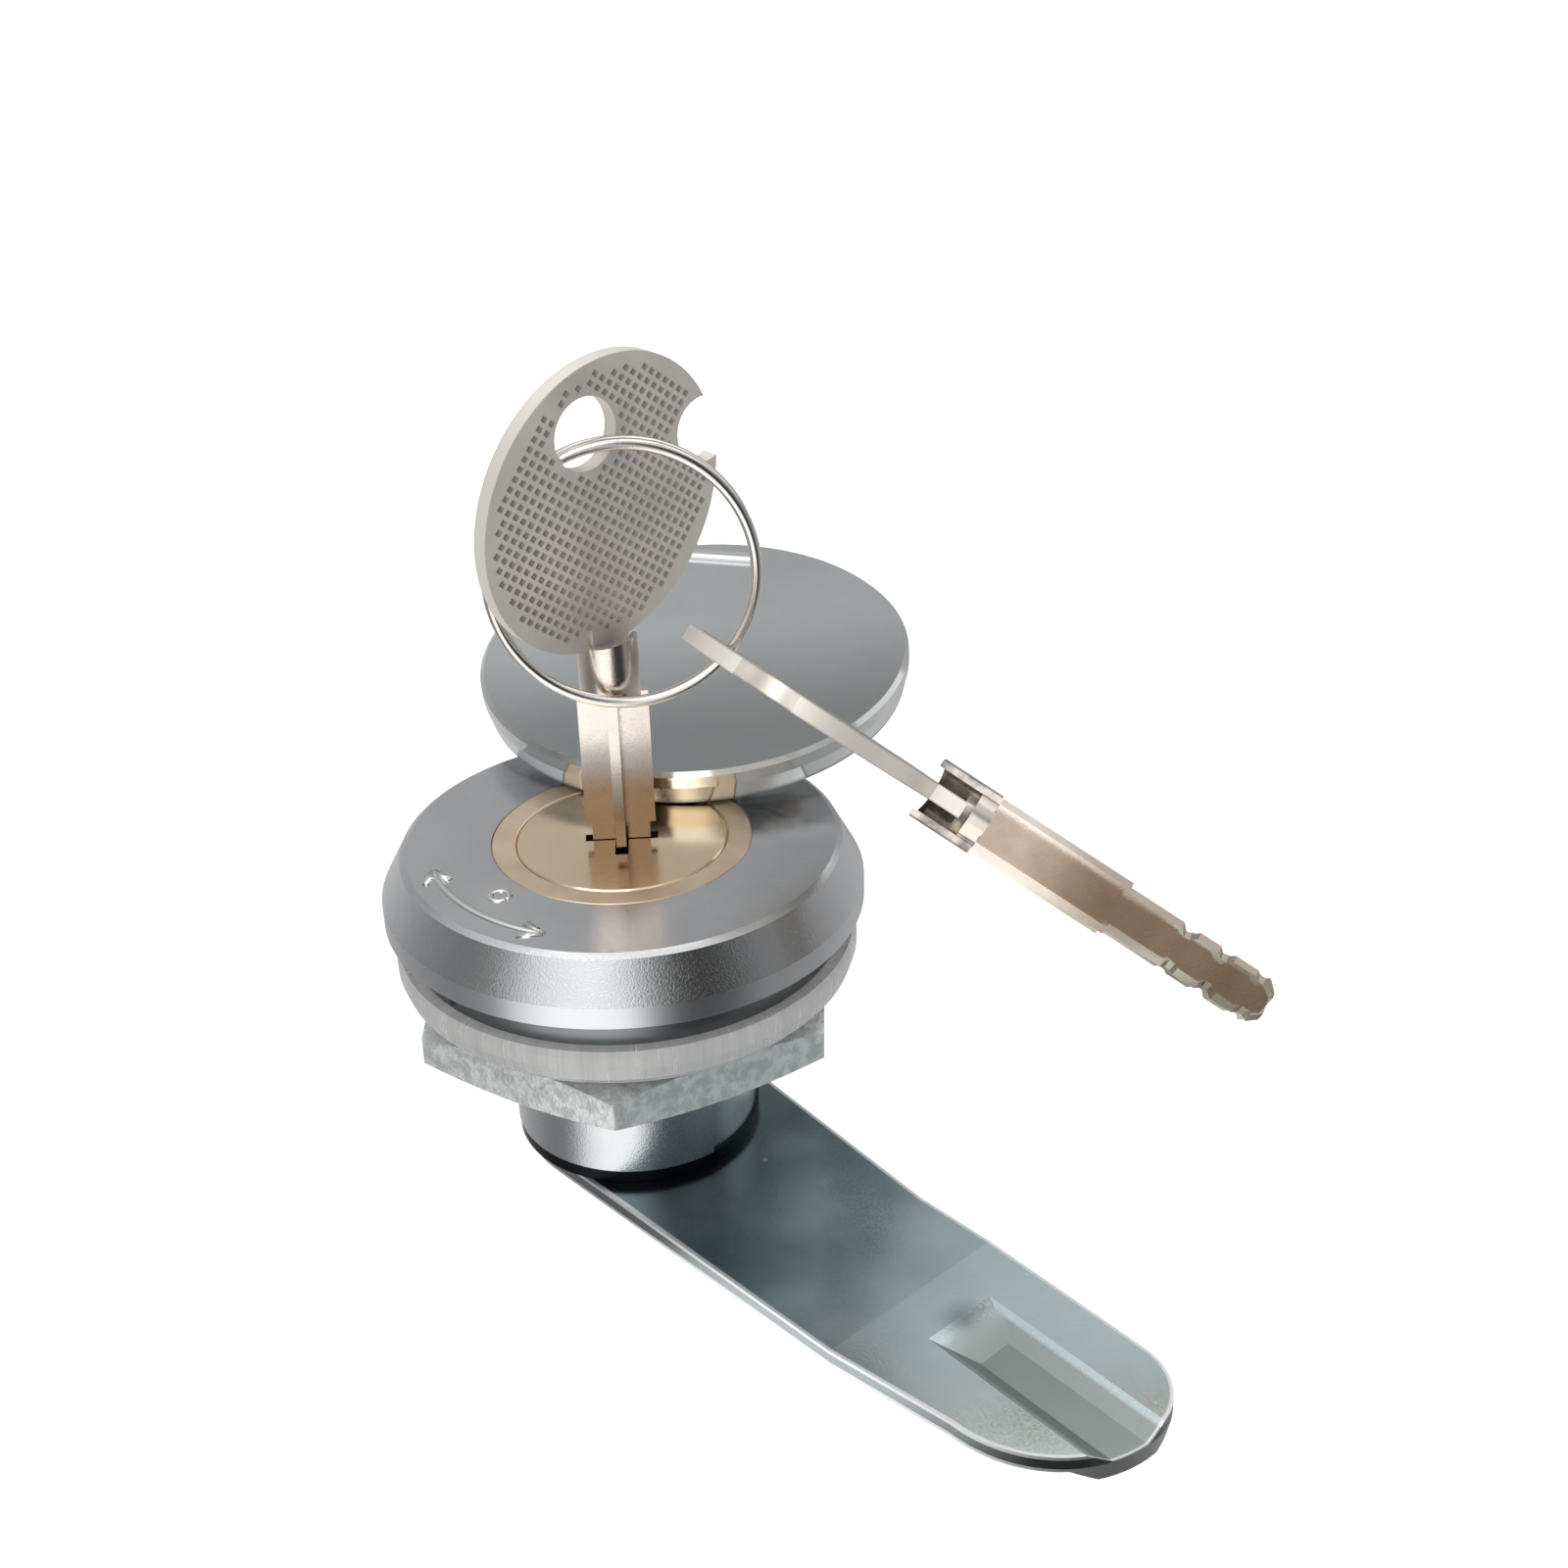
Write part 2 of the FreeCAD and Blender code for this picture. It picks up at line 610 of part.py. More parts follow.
cam_side = doc.addObject("PartDesign::Body", "cam_side")
side_sketch = polygon(cam_side, "cam_side_view", "XZ_Plane", [
    ("-cam_root_radius - 2", CAM_TOP),
    ("cam_bend", CAM_TOP),
    ("cam_length + 2", f"{CAM_TOP} - {DROP}"),
    ("cam_length + 2", f"{CAM_TOP} - {DROP} - cam_thickness"),
    ("cam_bend", f"{CAM_TOP} - cam_thickness"),
    ("-cam_root_radius - 2", f"{CAM_TOP} - cam_thickness"),
])
cam_pad = cam_side.newObject("PartDesign::Pad", "cam_pad")
cam_pad.Profile = side_sketch
cam_pad.Midplane = True
bind(cam_pad, Length="4 * cam_root_radius")
cam_side.Tip = cam_pad


def cam_outline():
    """The arm seen from above: round root, two edges of their own and a rounded tip."""
    end = size("cam_length")
    aside = size("cam_tip_aside")
    foremost = Vector(end, aside, 0)
    edges = []
    roots = []
    for side, other in ((1, ""), (-1, "_other")):
        root = size("cam_root" + (other or "_radius"))
        tip_half = size(f"cam_tip{other}_half")
        corner = tip_half - side * aside
        last = end - corner
        rise = corner * math.sqrt(0.5)
        roots.append(root)
        points = [
            Vector(0, side * root, 0),
            Vector(0.35 * root, side * root, 0),
            Vector(size("cam_waist" + other), side * size(f"cam_waist{other}_half"), 0),
            Vector(last, side * tip_half, 0),
        ]
        edges += [Part.LineSegment(a, b).toShape() for a, b in zip(points, points[1:])]
        middle = Vector(last + rise, side * (tip_half - corner + rise), 0)
        edges.append(Part.Arc(points[-1], middle, foremost).toShape())
    back = Vector(-sum(roots) / 2, (roots[0] - roots[1]) / 2, 0)
    edges.append(Part.Arc(Vector(0, -roots[1], 0), back, Vector(0, roots[0], 0)).toShape())
    return Part.Face(Part.Wire(Part.__sortEdges__(edges)))


cam_plan = doc.addObject("Part::Feature", "cam_plan")
deep = size("barrel_length") + 4 * size("stop_thickness") + 4 * size("cam_thickness")
outline = cam_outline()
outline.translate(Vector(0, 0, -deep))
cam_plan.Shape = outline.extrude(Vector(0, 0, deep))
cam_blank = common("cam_blank", [cam_side, cam_plan])


def channel(name, deeper, wider):
    """The pressed channel as a trough that opens upwards and runs out at the tip."""
    made = doc.addObject("Part::Wedge", name)
    run = "(cam_length + 3 - bead_start)"
    bind(made,
         Xmin="bead_ramp", Xmax=run, X2min="0", X2max=run,
         Zmin=f"-bead_floor / 2 - {wider}", Zmax=f"bead_floor / 2 + {wider}",
         Z2min=f"-bead_mouth / 2 - {wider}", Z2max=f"bead_mouth / 2 + {wider}",
         Ymin="0", Ymax="bead_depth")
    start = Vector(size("bead_start"), size("bead_aside"), 0)
    level = -size("barrel_length") - size("stop_thickness")
    level -= (size("bead_start") - size("cam_bend")) * bend_slope
    level -= size("bead_depth") + deeper
    bend = Rotation(Vector(0, 1, 0), size("cam_bend_angle"))
    upright = Rotation(Vector(1, 0, 0), 90)
    made.Placement = Placement(start + Vector(0, 0, level), bend * upright)
    return made


trough = channel("trough", 0, 0)
under = channel("under", size("cam_thickness"), 0.9)
tip_limit = doc.addObject("Part::Feature", "tip_limit")
tip_limit.Shape = cam_plan.Shape.copy()
under_trimmed = common("under_trimmed", [under, tip_limit])
cam_full = union("cam_full", [cam_blank, under_trimmed])
cam_hole = box("cam_hole", "drive_square + 2 * running_gap",
               "drive_square + 2 * running_gap", "8 * cam_thickness",
               f"{CAM_TOP} - 6 * cam_thickness")
cam_tools = union("cam_tools", [trough, cam_hole])
node(cut("cam_cut", cam_full, cam_tools), "cam")

CAM_BOTTOM = f"{CAM_TOP} - cam_thickness"
washer_disc = cylinder("washer_disc", "cam_washer_radius",
                       "cam_washer_thickness - 2 * seat_gap",
                       f"{CAM_BOTTOM} - cam_washer_thickness + seat_gap")
washer_hole = cylinder("washer_hole", "screw_radius + 0.15", "3 * cam_washer_thickness",
                       f"{CAM_BOTTOM} - 2 * cam_washer_thickness")
node(cut("washer_cut", washer_disc, washer_hole), "cam_washer")

HEAD_TOP = f"{CAM_BOTTOM} - cam_washer_thickness"
screw_hex = prism("screw_hex", "screw_flats", "screw_head", f"{HEAD_TOP} - screw_head")
screw_shank = cylinder("screw_shank", "screw_radius - seat_gap", "screw_length",
                       HEAD_TOP)
node(union("screw_union", [screw_hex, screw_shank]), "cam_screw")

# Dust cover on its spindle. Its own frame has the cross pin at the origin and the
# cover's centre out along X.

COVER_FOOT = "-cover_pin_height"
cover_turned = turned("cover_turned", [
    ("0", f"{COVER_FOOT} + cover_hollow"),
    ("cover_radius - cover_rim", f"{COVER_FOOT} + cover_hollow"),
    ("cover_radius - cover_rim", COVER_FOOT),
    ("cover_radius - cover_taper", COVER_FOOT),
    ("cover_radius", f"{COVER_FOOT} + cover_thickness * 0.55"),
    ("cover_radius", f"{COVER_FOOT} + cover_thickness - cover_edge"),
    ("cover_radius - cover_edge", f"{COVER_FOOT} + cover_thickness"),
    ("0", f"{COVER_FOOT} + cover_thickness"),
])
cover_turned.setExpression("Placement.Base.x", "Sizes.swivel_radius")
cover_boss = cylinder("cover_boss", "cover_pin_length / 2 + 0.6",
                      "cover_hollow + 0.3", COVER_FOOT)
cover_full = union("cover_full", [cover_turned, cover_boss])
cover_slot = box("cover_slot", "4 * eye_radius", "eye_thickness + 0.3",
                 "cover_pin_height + eye_radius + 0.12 + 1", f"{COVER_FOOT} - 1")
pin_bore = bind(doc.addObject("Part::Cylinder", "pin_bore"),
                Radius="cover_pin_radius + seat_gap / 2", Height="cover_pin_length + 0.2")
pin_bore.Placement = Placement(Vector(), Rotation(Vector(1, 0, 0), 90))
lift(pin_bore, "0", "0", "(cover_pin_length + 0.2) / 2")
catch_seat = box("catch_seat", "catch_width + 2 * seat_gap", "catch_length + 2 * seat_gap",
                 "cover_thickness", f"{COVER_FOOT} + cover_thickness - 0.6",
                 "swivel_radius + cover_radius - catch_inset - catch_width / 2 - seat_gap")
lift_aside = "catch_aside - catch_length / 2"
catch_seat.setExpression("Placement.Base.y", bound(f"{lift_aside} - seat_gap"))
block_front_x = "block_front - swivel_radius - 0.4"
block_room = box("block_room", "1.2 + swivel_radius - block_front - 0.8", "block_width + 0.6",
                 "cover_pin_height + 0.62", f"{COVER_FOOT} - 1", block_front_x)
pin_room = box("pin_room", "3.6", "block_width + 0.6", "cover_pin_height + 0.28",
               f"{COVER_FOOT} - 1", "-1.3")
cover_tools = union("cover_tools", [cover_slot, pin_bore, catch_seat, block_room, pin_room])
dust_cover = node(cut("cover_cut", cover_full, cover_tools), "dust_cover")

catch_bar = box("catch_bar", "catch_width", "catch_length", "0.6 + catch_height - seat_gap",
                f"{COVER_FOOT} + cover_thickness - 0.6 + seat_gap",
                "swivel_radius + cover_radius - catch_inset - catch_width / 2")
catch_bar.setExpression("Placement.Base.y", bound(lift_aside))
catch_round = doc.addObject("Part::Fillet", "catch_round")
catch_round.Base = catch_bar
doc.recompute()
catch_round.Edges = [(index, size("catch_edge"), size("catch_edge"))
                     for index in top_edges(catch_bar)]
finger_catch = node(catch_round, "finger_catch")

cover_pin = bind(doc.addObject("Part::Cylinder", "cover_cross_pin"),
                 Radius="cover_pin_radius", Height="cover_pin_length")
cover_pin.Placement = Placement(Vector(), Rotation(Vector(1, 0, 0), 90))
lift(cover_pin, "0", "0", "cover_pin_length / 2")
cross_pin = node(group("cross_pin_group", [cover_pin]), "cover_pin")

tilt = math.radians(size("cover_tilt"))
near_edge = size("cover_radius") - size("cover_taper") - size("swivel_radius")
pin_height = near_edge * math.sin(tilt) + size("cover_pin_height") * math.cos(tilt)
pin_height += size("face_level") + size("cover_lift")
pivot = Vector(size("swivel_radius"), 0, pin_height)
out_turn = Rotation(Vector(0, 0, 1), size("swivel_angle"))
lean = Rotation(Vector(0, 1, 0), -size("cover_tilt"))
COVER_PLACE = Placement(out_turn.multVec(pivot), out_turn * lean)
for piece in (dust_cover, finger_catch, cross_pin):
    piece.Placement = COVER_PLACE

PIN_UP = f"{pin_height:.6f}"
BLOCK_TOP = "face_level + cover_lift + block_height"
post = cylinder("post", "spindle_radius", f"{BLOCK_TOP} - gasket_height - 0.3",
                "gasket_height + 0.15")
block_long = "(swivel_radius - block_front + block_back)"
block_blank = box("block_blank", block_long, "block_width", "block_height",
                  "face_level + cover_lift", "block_front - swivel_radius")
block_bevelled = doc.addObject("Part::Chamfer", "block_bevelled")
block_bevelled.Base = block_blank
doc.recompute()
block_bevelled.Edges = [(index, size("block_edge"), size("block_edge"))
                        for index in top_edges(block_blank)]
block_bore = cylinder("block_bore", "spindle_radius + seat_gap", "3 * block_height",
                      "face_level - block_height")
hinge_block = node(cut("block_cut", block_bevelled, block_bore), "hinge_block")
eye_round = bind(doc.addObject("Part::Cylinder", "eye_round"),
                 Radius="eye_radius", Height="eye_thickness")
eye_round.Placement = Placement(Vector(), Rotation(Vector(1, 0, 0), 90))
lift(eye_round, PIN_UP, "0", "eye_thickness / 2")
eye_neck = box("eye_neck", "2 * eye_radius", "eye_thickness",
               f"{PIN_UP} - ({BLOCK_TOP}) + 0.5", f"{BLOCK_TOP} - 0.5")
eye_bore = bind(doc.addObject("Part::Cylinder", "eye_bore"),
                Radius="cover_pin_radius + running_gap", Height="4 * eye_thickness")
eye_bore.Placement = Placement(Vector(), Rotation(Vector(1, 0, 0), 90))
lift(eye_bore, PIN_UP, "0", "2 * eye_thickness")
spindle_solid = union("spindle_solid", [post, eye_round, eye_neck])
spindle = node(cut("spindle_cut", spindle_solid, eye_bore), "cover_spindle")

clip_disc = cylinder("clip_disc", "clip_radius", "clip_thickness",
                     "gasket_height + clip_rise")
clip_bore = cylinder("clip_bore", "spindle_radius + seat_gap", "3 * clip_thickness",
                     "gasket_height + clip_rise - clip_thickness")
clip = node(cut("clip_cut", clip_disc, clip_bore), "spindle_clip")
SPINDLE_PLACE = Placement(out_turn.multVec(Vector(size("swivel_radius"), 0, 0)), out_turn)
for piece in (spindle, hinge_block, clip):
    piece.Placement = SPINDLE_PLACE

spring_foot = size("gasket_height") + size("clip_rise") + size("clip_thickness")
spring_top = size("face_level") - size("pocket_roof")
wire = size("return_wire")
spindle_spring = node(doc.addObject("Part::Feature", "spindle_spring_coil"), "spindle_spring")
spindle_spring.Shape = coil(size("spindle_radius") + 2 * wire + size("running_gap"), wire,
                            size("return_turns"),
                            spring_top - spring_foot - 2 * wire - 2 * size("seat_gap"))
stand = Vector(size("swivel_radius"), 0, spring_foot + wire + size("seat_gap"))
spindle_spring.Placement = Placement(out_turn.multVec(stand), out_turn)

# One key, built upright in the lock with its bow along X; the spare key is the same

BLADE_TIP = "face_level - blade_reach"
COLLAR_FOOT = "face_level + collar_bottom"
STEP = "face_level - blade_reach + bitted_length"


def cross(name, reach, start, end):
    """Two crossed ribs between two heights."""
    wide = box(name + "_wide", f"2 * {reach}", "rib_thickness", f"{end} - ({start})", start)
    deep_rib = box(name + "_deep", "rib_thickness", f"2 * {reach}", f"{end} - ({start})",
                   start)
    return union(name, [wide, deep_rib])


CUT_SHARES = (0.45, 1.0, 0.75)


def cuts(name):
    """V cuts on the four ribs at the height of each pin, in three depths."""
    def column(label, quarter):
        found = []
        for row in range(ROWS):
            share = CUT_SHARES[(row + quarter) % len(CUT_SHARES)]
            made = doc.addObject("Part::Wedge", f"{label}_{row}")
            bind(made, Xmin="0", Xmax="cut_width", X2min="cut_width * 0.4",
                 X2max="cut_width * 0.6", Ymin="0", Ymax=f"cut_depth * {share} + 0.5",
                 Zmin="0", Zmax="4 * rib_thickness", Z2min="0", Z2max="4 * rib_thickness")
            inward = Rotation(Vector(0, 0, 1), 90 * quarter)
            lay = Rotation(FreeCAD.Matrix(0, -1, 0, 0, 0, 0, -1, 0, 1, 0, 0, 0, 0, 0, 0, 1))
            reach = size("bitted_radius") + 0.5
            level = size("face_level") - size("first_pin") - row * size("pin_pitch")
            corner = Vector(reach, 2 * size("rib_thickness"), level - size("cut_width") / 2)
            made.Placement = Placement(inward.multVec(corner), inward * lay)
            found.append(made)
        return found
    return union(name, quarter_turns(name + "_", column))


def key(prefix):
    """Bow, collar and blade of one key, each a sub-part of its own."""
    shank = cross(prefix + "shank", "rib_radius", STEP, COLLAR_FOOT)
    bitted = cross(prefix + "bitted", "bitted_radius", BLADE_TIP, STEP)
    root = cylinder(prefix + "root", "collar_radius - collar_wall - seat_gap",
                    "collar_height * 0.25 + 0.1", COLLAR_FOOT + " - 0.1")
    whole = union(prefix + "whole", [shank, bitted, root])
    sheath = turned(prefix + "sheath", [
        ("0", BLADE_TIP),
        ("rib_radius - tip_bevel", BLADE_TIP),
        ("rib_radius + 0.3", f"{BLADE_TIP} + tip_bevel + 0.3"),
        ("rib_radius + 0.3", f"{COLLAR_FOOT} + collar_height"),
        ("0", f"{COLLAR_FOOT} + collar_height"),
    ])
    tipped = common(prefix + "tipped", [whole, sheath])
    blade = cut(prefix + "blade_cut", tipped, cuts(prefix + "cuts"))

    tube = cylinder(prefix + "tube", "collar_radius", "collar_height", COLLAR_FOOT)
    tube_bore = cylinder(prefix + "tube_bore", "collar_radius - collar_wall",
                         "2 * collar_height", f"{COLLAR_FOOT} - collar_height / 2")
    mouth = doc.addObject("Part::Box", prefix + "mouth")
    bind(mouth, Length="6 * collar_radius", Width="6 * collar_radius", Height="collar_height")
    slant = Rotation(Vector(0, 1, 0), -size("collar_slant"))
    top = size("face_level") + size("collar_bottom") + size("collar_height") - 0.65
    mouth.Placement = Placement(
        Vector(0, 0, top) + slant.multVec(Vector(-1, -1, 0) * 3 * size("collar_radius")), slant)
    opening = box(prefix + "opening", "2 * collar_radius", "3 * collar_radius",
                  "2 * collar_height", f"{COLLAR_FOOT} - collar_height / 2", "collar_open")
    tube_tools = union(prefix + "tube_tools", [tube_bore, mouth, opening])
    collar = cut(prefix + "collar_cut", tube, tube_tools)

    plate_ellipse = doc.addObject("Part::Ellipse", prefix + "plate_ellipse")
    bind(plate_ellipse, MajorRadius="bow_long", MinorRadius="bow_short")
    upright = Rotation(Vector(1, 0, 0), 90)
    spin = Rotation(Vector(0, 0, 1), 90 - size("bow_lean"))
    bow_z = size("face_level") + size("bow_centre")
    plate_ellipse.Placement = Placement(Vector(0, 0, bow_z), upright * spin)
    plate = extruded(prefix + "plate", plate_ellipse, "bow_thickness")
    hole = bind(doc.addObject("Part::Cylinder", prefix + "hole"),
                Radius="hole_radius", Height="4 * bow_thickness")
    hole.Placement = Placement(Vector(), upright)
    lift(hole, "face_level + bow_centre + hole_rise", "-hole_side", "2 * bow_thickness")
    bite = bind(doc.addObject("Part::Cylinder", prefix + "bite"),
                Radius="bite_radius", Height="4 * bow_thickness")
    bite.Placement = Placement(Vector(), upright)
    lift(bite, "face_level + bow_centre + bite_rise", "bite_side", "2 * bow_thickness")
    tang = box(prefix + "tang", "2 * tang_half", "bow_thickness",
               "bow_centre - collar_bottom - collar_height * 0.35",
               f"{COLLAR_FOOT} + collar_height * 0.35")
    sleeve_room = cylinder(prefix + "sleeve_room", "collar_radius + seat_gap",
                           "collar_height + 0.2", COLLAR_FOOT)
    sleeve_core = cylinder(prefix + "sleeve_core", "collar_radius - collar_wall - seat_gap",
                           "2 * collar_height", f"{COLLAR_FOOT} - collar_height / 2")
    around = cut(prefix + "around", sleeve_room,
                 union(prefix + "not_around", [sleeve_core, opening]))
    below = box(prefix + "below", "6 * collar_radius", "6 * collar_radius",
                "collar_height", f"{COLLAR_FOOT} - collar_height * 0.65")
    full = union(prefix + "full", [plate, tang])
    bow_tools = union(prefix + "bow_tools", [hole, bite, around, below])
    bow = cut(prefix + "bow_cut", full, bow_tools)
    return bow, collar, blade


def extruded(name, base, depth):
    """A closed curve in the XZ plane thickened evenly along Y."""
    made = doc.addObject("Part::Extrusion", name)
    made.Base = base
    made.DirMode = "Custom"
    made.Dir = Vector(0, 1, 0)
    made.Solid = True
    bind(made, LengthFwd=f"({depth}) / 2", LengthRev=f"({depth}) / 2")
    return made


KEY_PLACE = Placement(Vector(), Rotation(Vector(0, 0, 1), size("key_angle")))
BOW_PLACE = Placement(Vector(), Rotation(Vector(0, 0, 1), size("bow_angle")))
bow, collar, blade = key("first_")
node(bow, "key_bow").Placement = BOW_PLACE
node(collar, "key_collar").Placement = BOW_PLACE
node(blade, "key_blade").Placement = KEY_PLACE

# Key ring: an upright loop through the hole in the first key's bow, its ends
# overlapping along the top. Angles run clockwise from the top, seen from outside.

flat = math.radians(size("bow_angle") + size("loop_angle"))
loop_side = Vector(math.cos(flat), math.sin(flat), 0)
loop_lean = math.radians(size("loop_lean"))
level_back = Vector(0, 0, 1).cross(loop_side)
loop_up = Vector(0, 0, math.cos(loop_lean)) + level_back * math.sin(loop_lean)
loop_back = loop_up.cross(loop_side)
hole_z = size("face_level") + size("bow_centre") + size("hole_rise")
HANG = BOW_PLACE.multVec(
    Vector(size("hang_aside") - size("hole_side"), 0, hole_z - size("hang_drop")))


def on_loop(angle):
    """Direction from the ring's centre to a clock angle in degrees."""
    turn = math.radians(angle)
    return loop_side * math.sin(turn) + loop_up * math.cos(turn)


def strand_shift(turn):
    """How far back the wire lies after so many turns from its front end."""
    return loop_back * (size("loop_pitch") * (turn - size("loop_turns") / 2))


hang_turn = 1 + (size("loop_start") - size("hang_angle")) / 360
LOOP_CENTRE = HANG - strand_shift(hang_turn) - on_loop(-size("hang_angle")) * size("loop_radius")


def frame_of(x_way, y_way, z_way):
    """A rotation that carries the axes to three given directions."""
    return Rotation(FreeCAD.Matrix(
        x_way.x, y_way.x, z_way.x, 0,
        x_way.y, y_way.y, z_way.y, 0,
        x_way.z, y_way.z, z_way.z, 0,
        0, 0, 0, 1))


key_ring = node(doc.addObject("Part::Feature", "key_ring_wire"), "key_ring")
key_ring.Shape = coil(size("loop_radius"), size("loop_wire"), size("loop_turns"),
                      size("loop_pitch") * size("loop_turns"))
first_way = on_loop(-size("loop_start"))
key_ring.Placement = Placement(
    LOOP_CENTRE + strand_shift(0), frame_of(first_way, loop_back.cross(first_way), loop_back))

# Spare key: it hangs from the ring by the upper end of its hole

heading = math.radians(size("spare_heading"))
fall = math.radians(size("spare_fall"))
roll = math.radians(size("spare_roll"))
down = Vector(math.cos(fall) * math.cos(heading), math.cos(fall) * math.sin(heading),
              -math.sin(fall))
level_way = Vector(-math.sin(heading), math.cos(heading), 0)
plate_way = level_way * math.cos(roll) + level_way.cross(down) * -math.sin(roll)
spare_turn = frame_of(plate_way.cross(down * -1), plate_way, down * -1)
held_turn = (size("spare_angle") + size("loop_start")) / 360
SPARE_HANG = LOOP_CENTRE + on_loop(size("spare_angle")) * size("loop_radius")
SPARE_HANG += strand_shift(held_turn)
spare_local = Vector(-size("hole_side"), 0, hole_z + size("spare_hold"))
SPARE_BOW_PLACE = Placement(SPARE_HANG - spare_turn.multVec(spare_local), spare_turn)
twist = Rotation(Vector(0, 0, 1), size("key_angle") - size("bow_angle"))
SPARE_PLACE = SPARE_BOW_PLACE.multiply(Placement(Vector(), twist))
bow, collar, blade = key("spare_")
node(bow, "spare_bow").Placement = SPARE_BOW_PLACE
node(collar, "spare_collar").Placement = SPARE_BOW_PLACE
node(blade, "spare_blade").Placement = SPARE_PLACE

# Check everything and write the sub-parts

doc.recompute()
failed = [thing.Name for thing in doc.Objects
          if "Invalid" in thing.State or "Error" in thing.State]
if failed:
    raise RuntimeError("features that failed: " + ", ".join(failed))

os.makedirs("parts", exist_ok=True)
for item in NODES:
    shape = item.Shape
    if shape.isNull() or not shape.isValid() or not shape.Solids:
        raise RuntimeError("no valid solid in " + item.Label)
    shape.exportStep(os.path.join("parts", item.Label + ".step"))
    box_of = shape.BoundBox
    print(f"{item.Label:18s} solids {len(shape.Solids):2d} volume {shape.Volume:9.3f}"
          f"  z {box_of.ZMin:7.2f} to {box_of.ZMax:7.2f}")
print("hang", HANG, "spare hang", SPARE_HANG, "ring centre", LOOP_CENTRE)
print("plate way", plate_way, "down", down)
print("pivot", out_turn.multVec(pivot), "cover pin height", pin_height)
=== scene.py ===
"""Dresses a cabinet cam lock: finishes, knurling, thread, face mark, studio and camera."""
import logging
import math
from dataclasses import dataclass
from enum import Enum

import bmesh
import bpy
from mathutils import Matrix, Vector


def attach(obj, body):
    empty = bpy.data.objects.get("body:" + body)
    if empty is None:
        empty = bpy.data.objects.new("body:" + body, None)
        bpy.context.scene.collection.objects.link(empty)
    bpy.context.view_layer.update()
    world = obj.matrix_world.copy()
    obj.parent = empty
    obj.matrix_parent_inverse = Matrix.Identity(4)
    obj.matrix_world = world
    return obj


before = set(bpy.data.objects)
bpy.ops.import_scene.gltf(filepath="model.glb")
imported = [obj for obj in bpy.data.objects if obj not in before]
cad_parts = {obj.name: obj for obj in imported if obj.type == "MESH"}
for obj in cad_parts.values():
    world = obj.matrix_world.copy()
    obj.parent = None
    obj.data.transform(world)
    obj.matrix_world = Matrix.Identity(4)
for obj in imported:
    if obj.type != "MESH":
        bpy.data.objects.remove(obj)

LOG = logging.getLogger("cam_lock")
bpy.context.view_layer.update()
MM = 0.001
PHOTO_TURN = math.radians(46.5)

Colour = tuple[float, float, float]
Point = tuple[float, float, float]
Axes = tuple[Point, Point, Point]
Socket = bpy.types.NodeSocket
Skin = tuple[Socket, Socket, Socket]
STRAIGHT: Axes = ((1, 0, 0), (0, 1, 0), (0, 0, 1))


class Body(Enum):
    """The bodies that grown pieces ride on."""

    LOCK = "lock_body"
    KEY = "first_key"
    SPARE = "spare_key"


class Kind(Enum):
    """Kinds of group socket."""

    VALUE = "NodeSocketFloat"
    VECTOR = "NodeSocketVector"
    COLOUR = "NodeSocketColor"


# Node trees


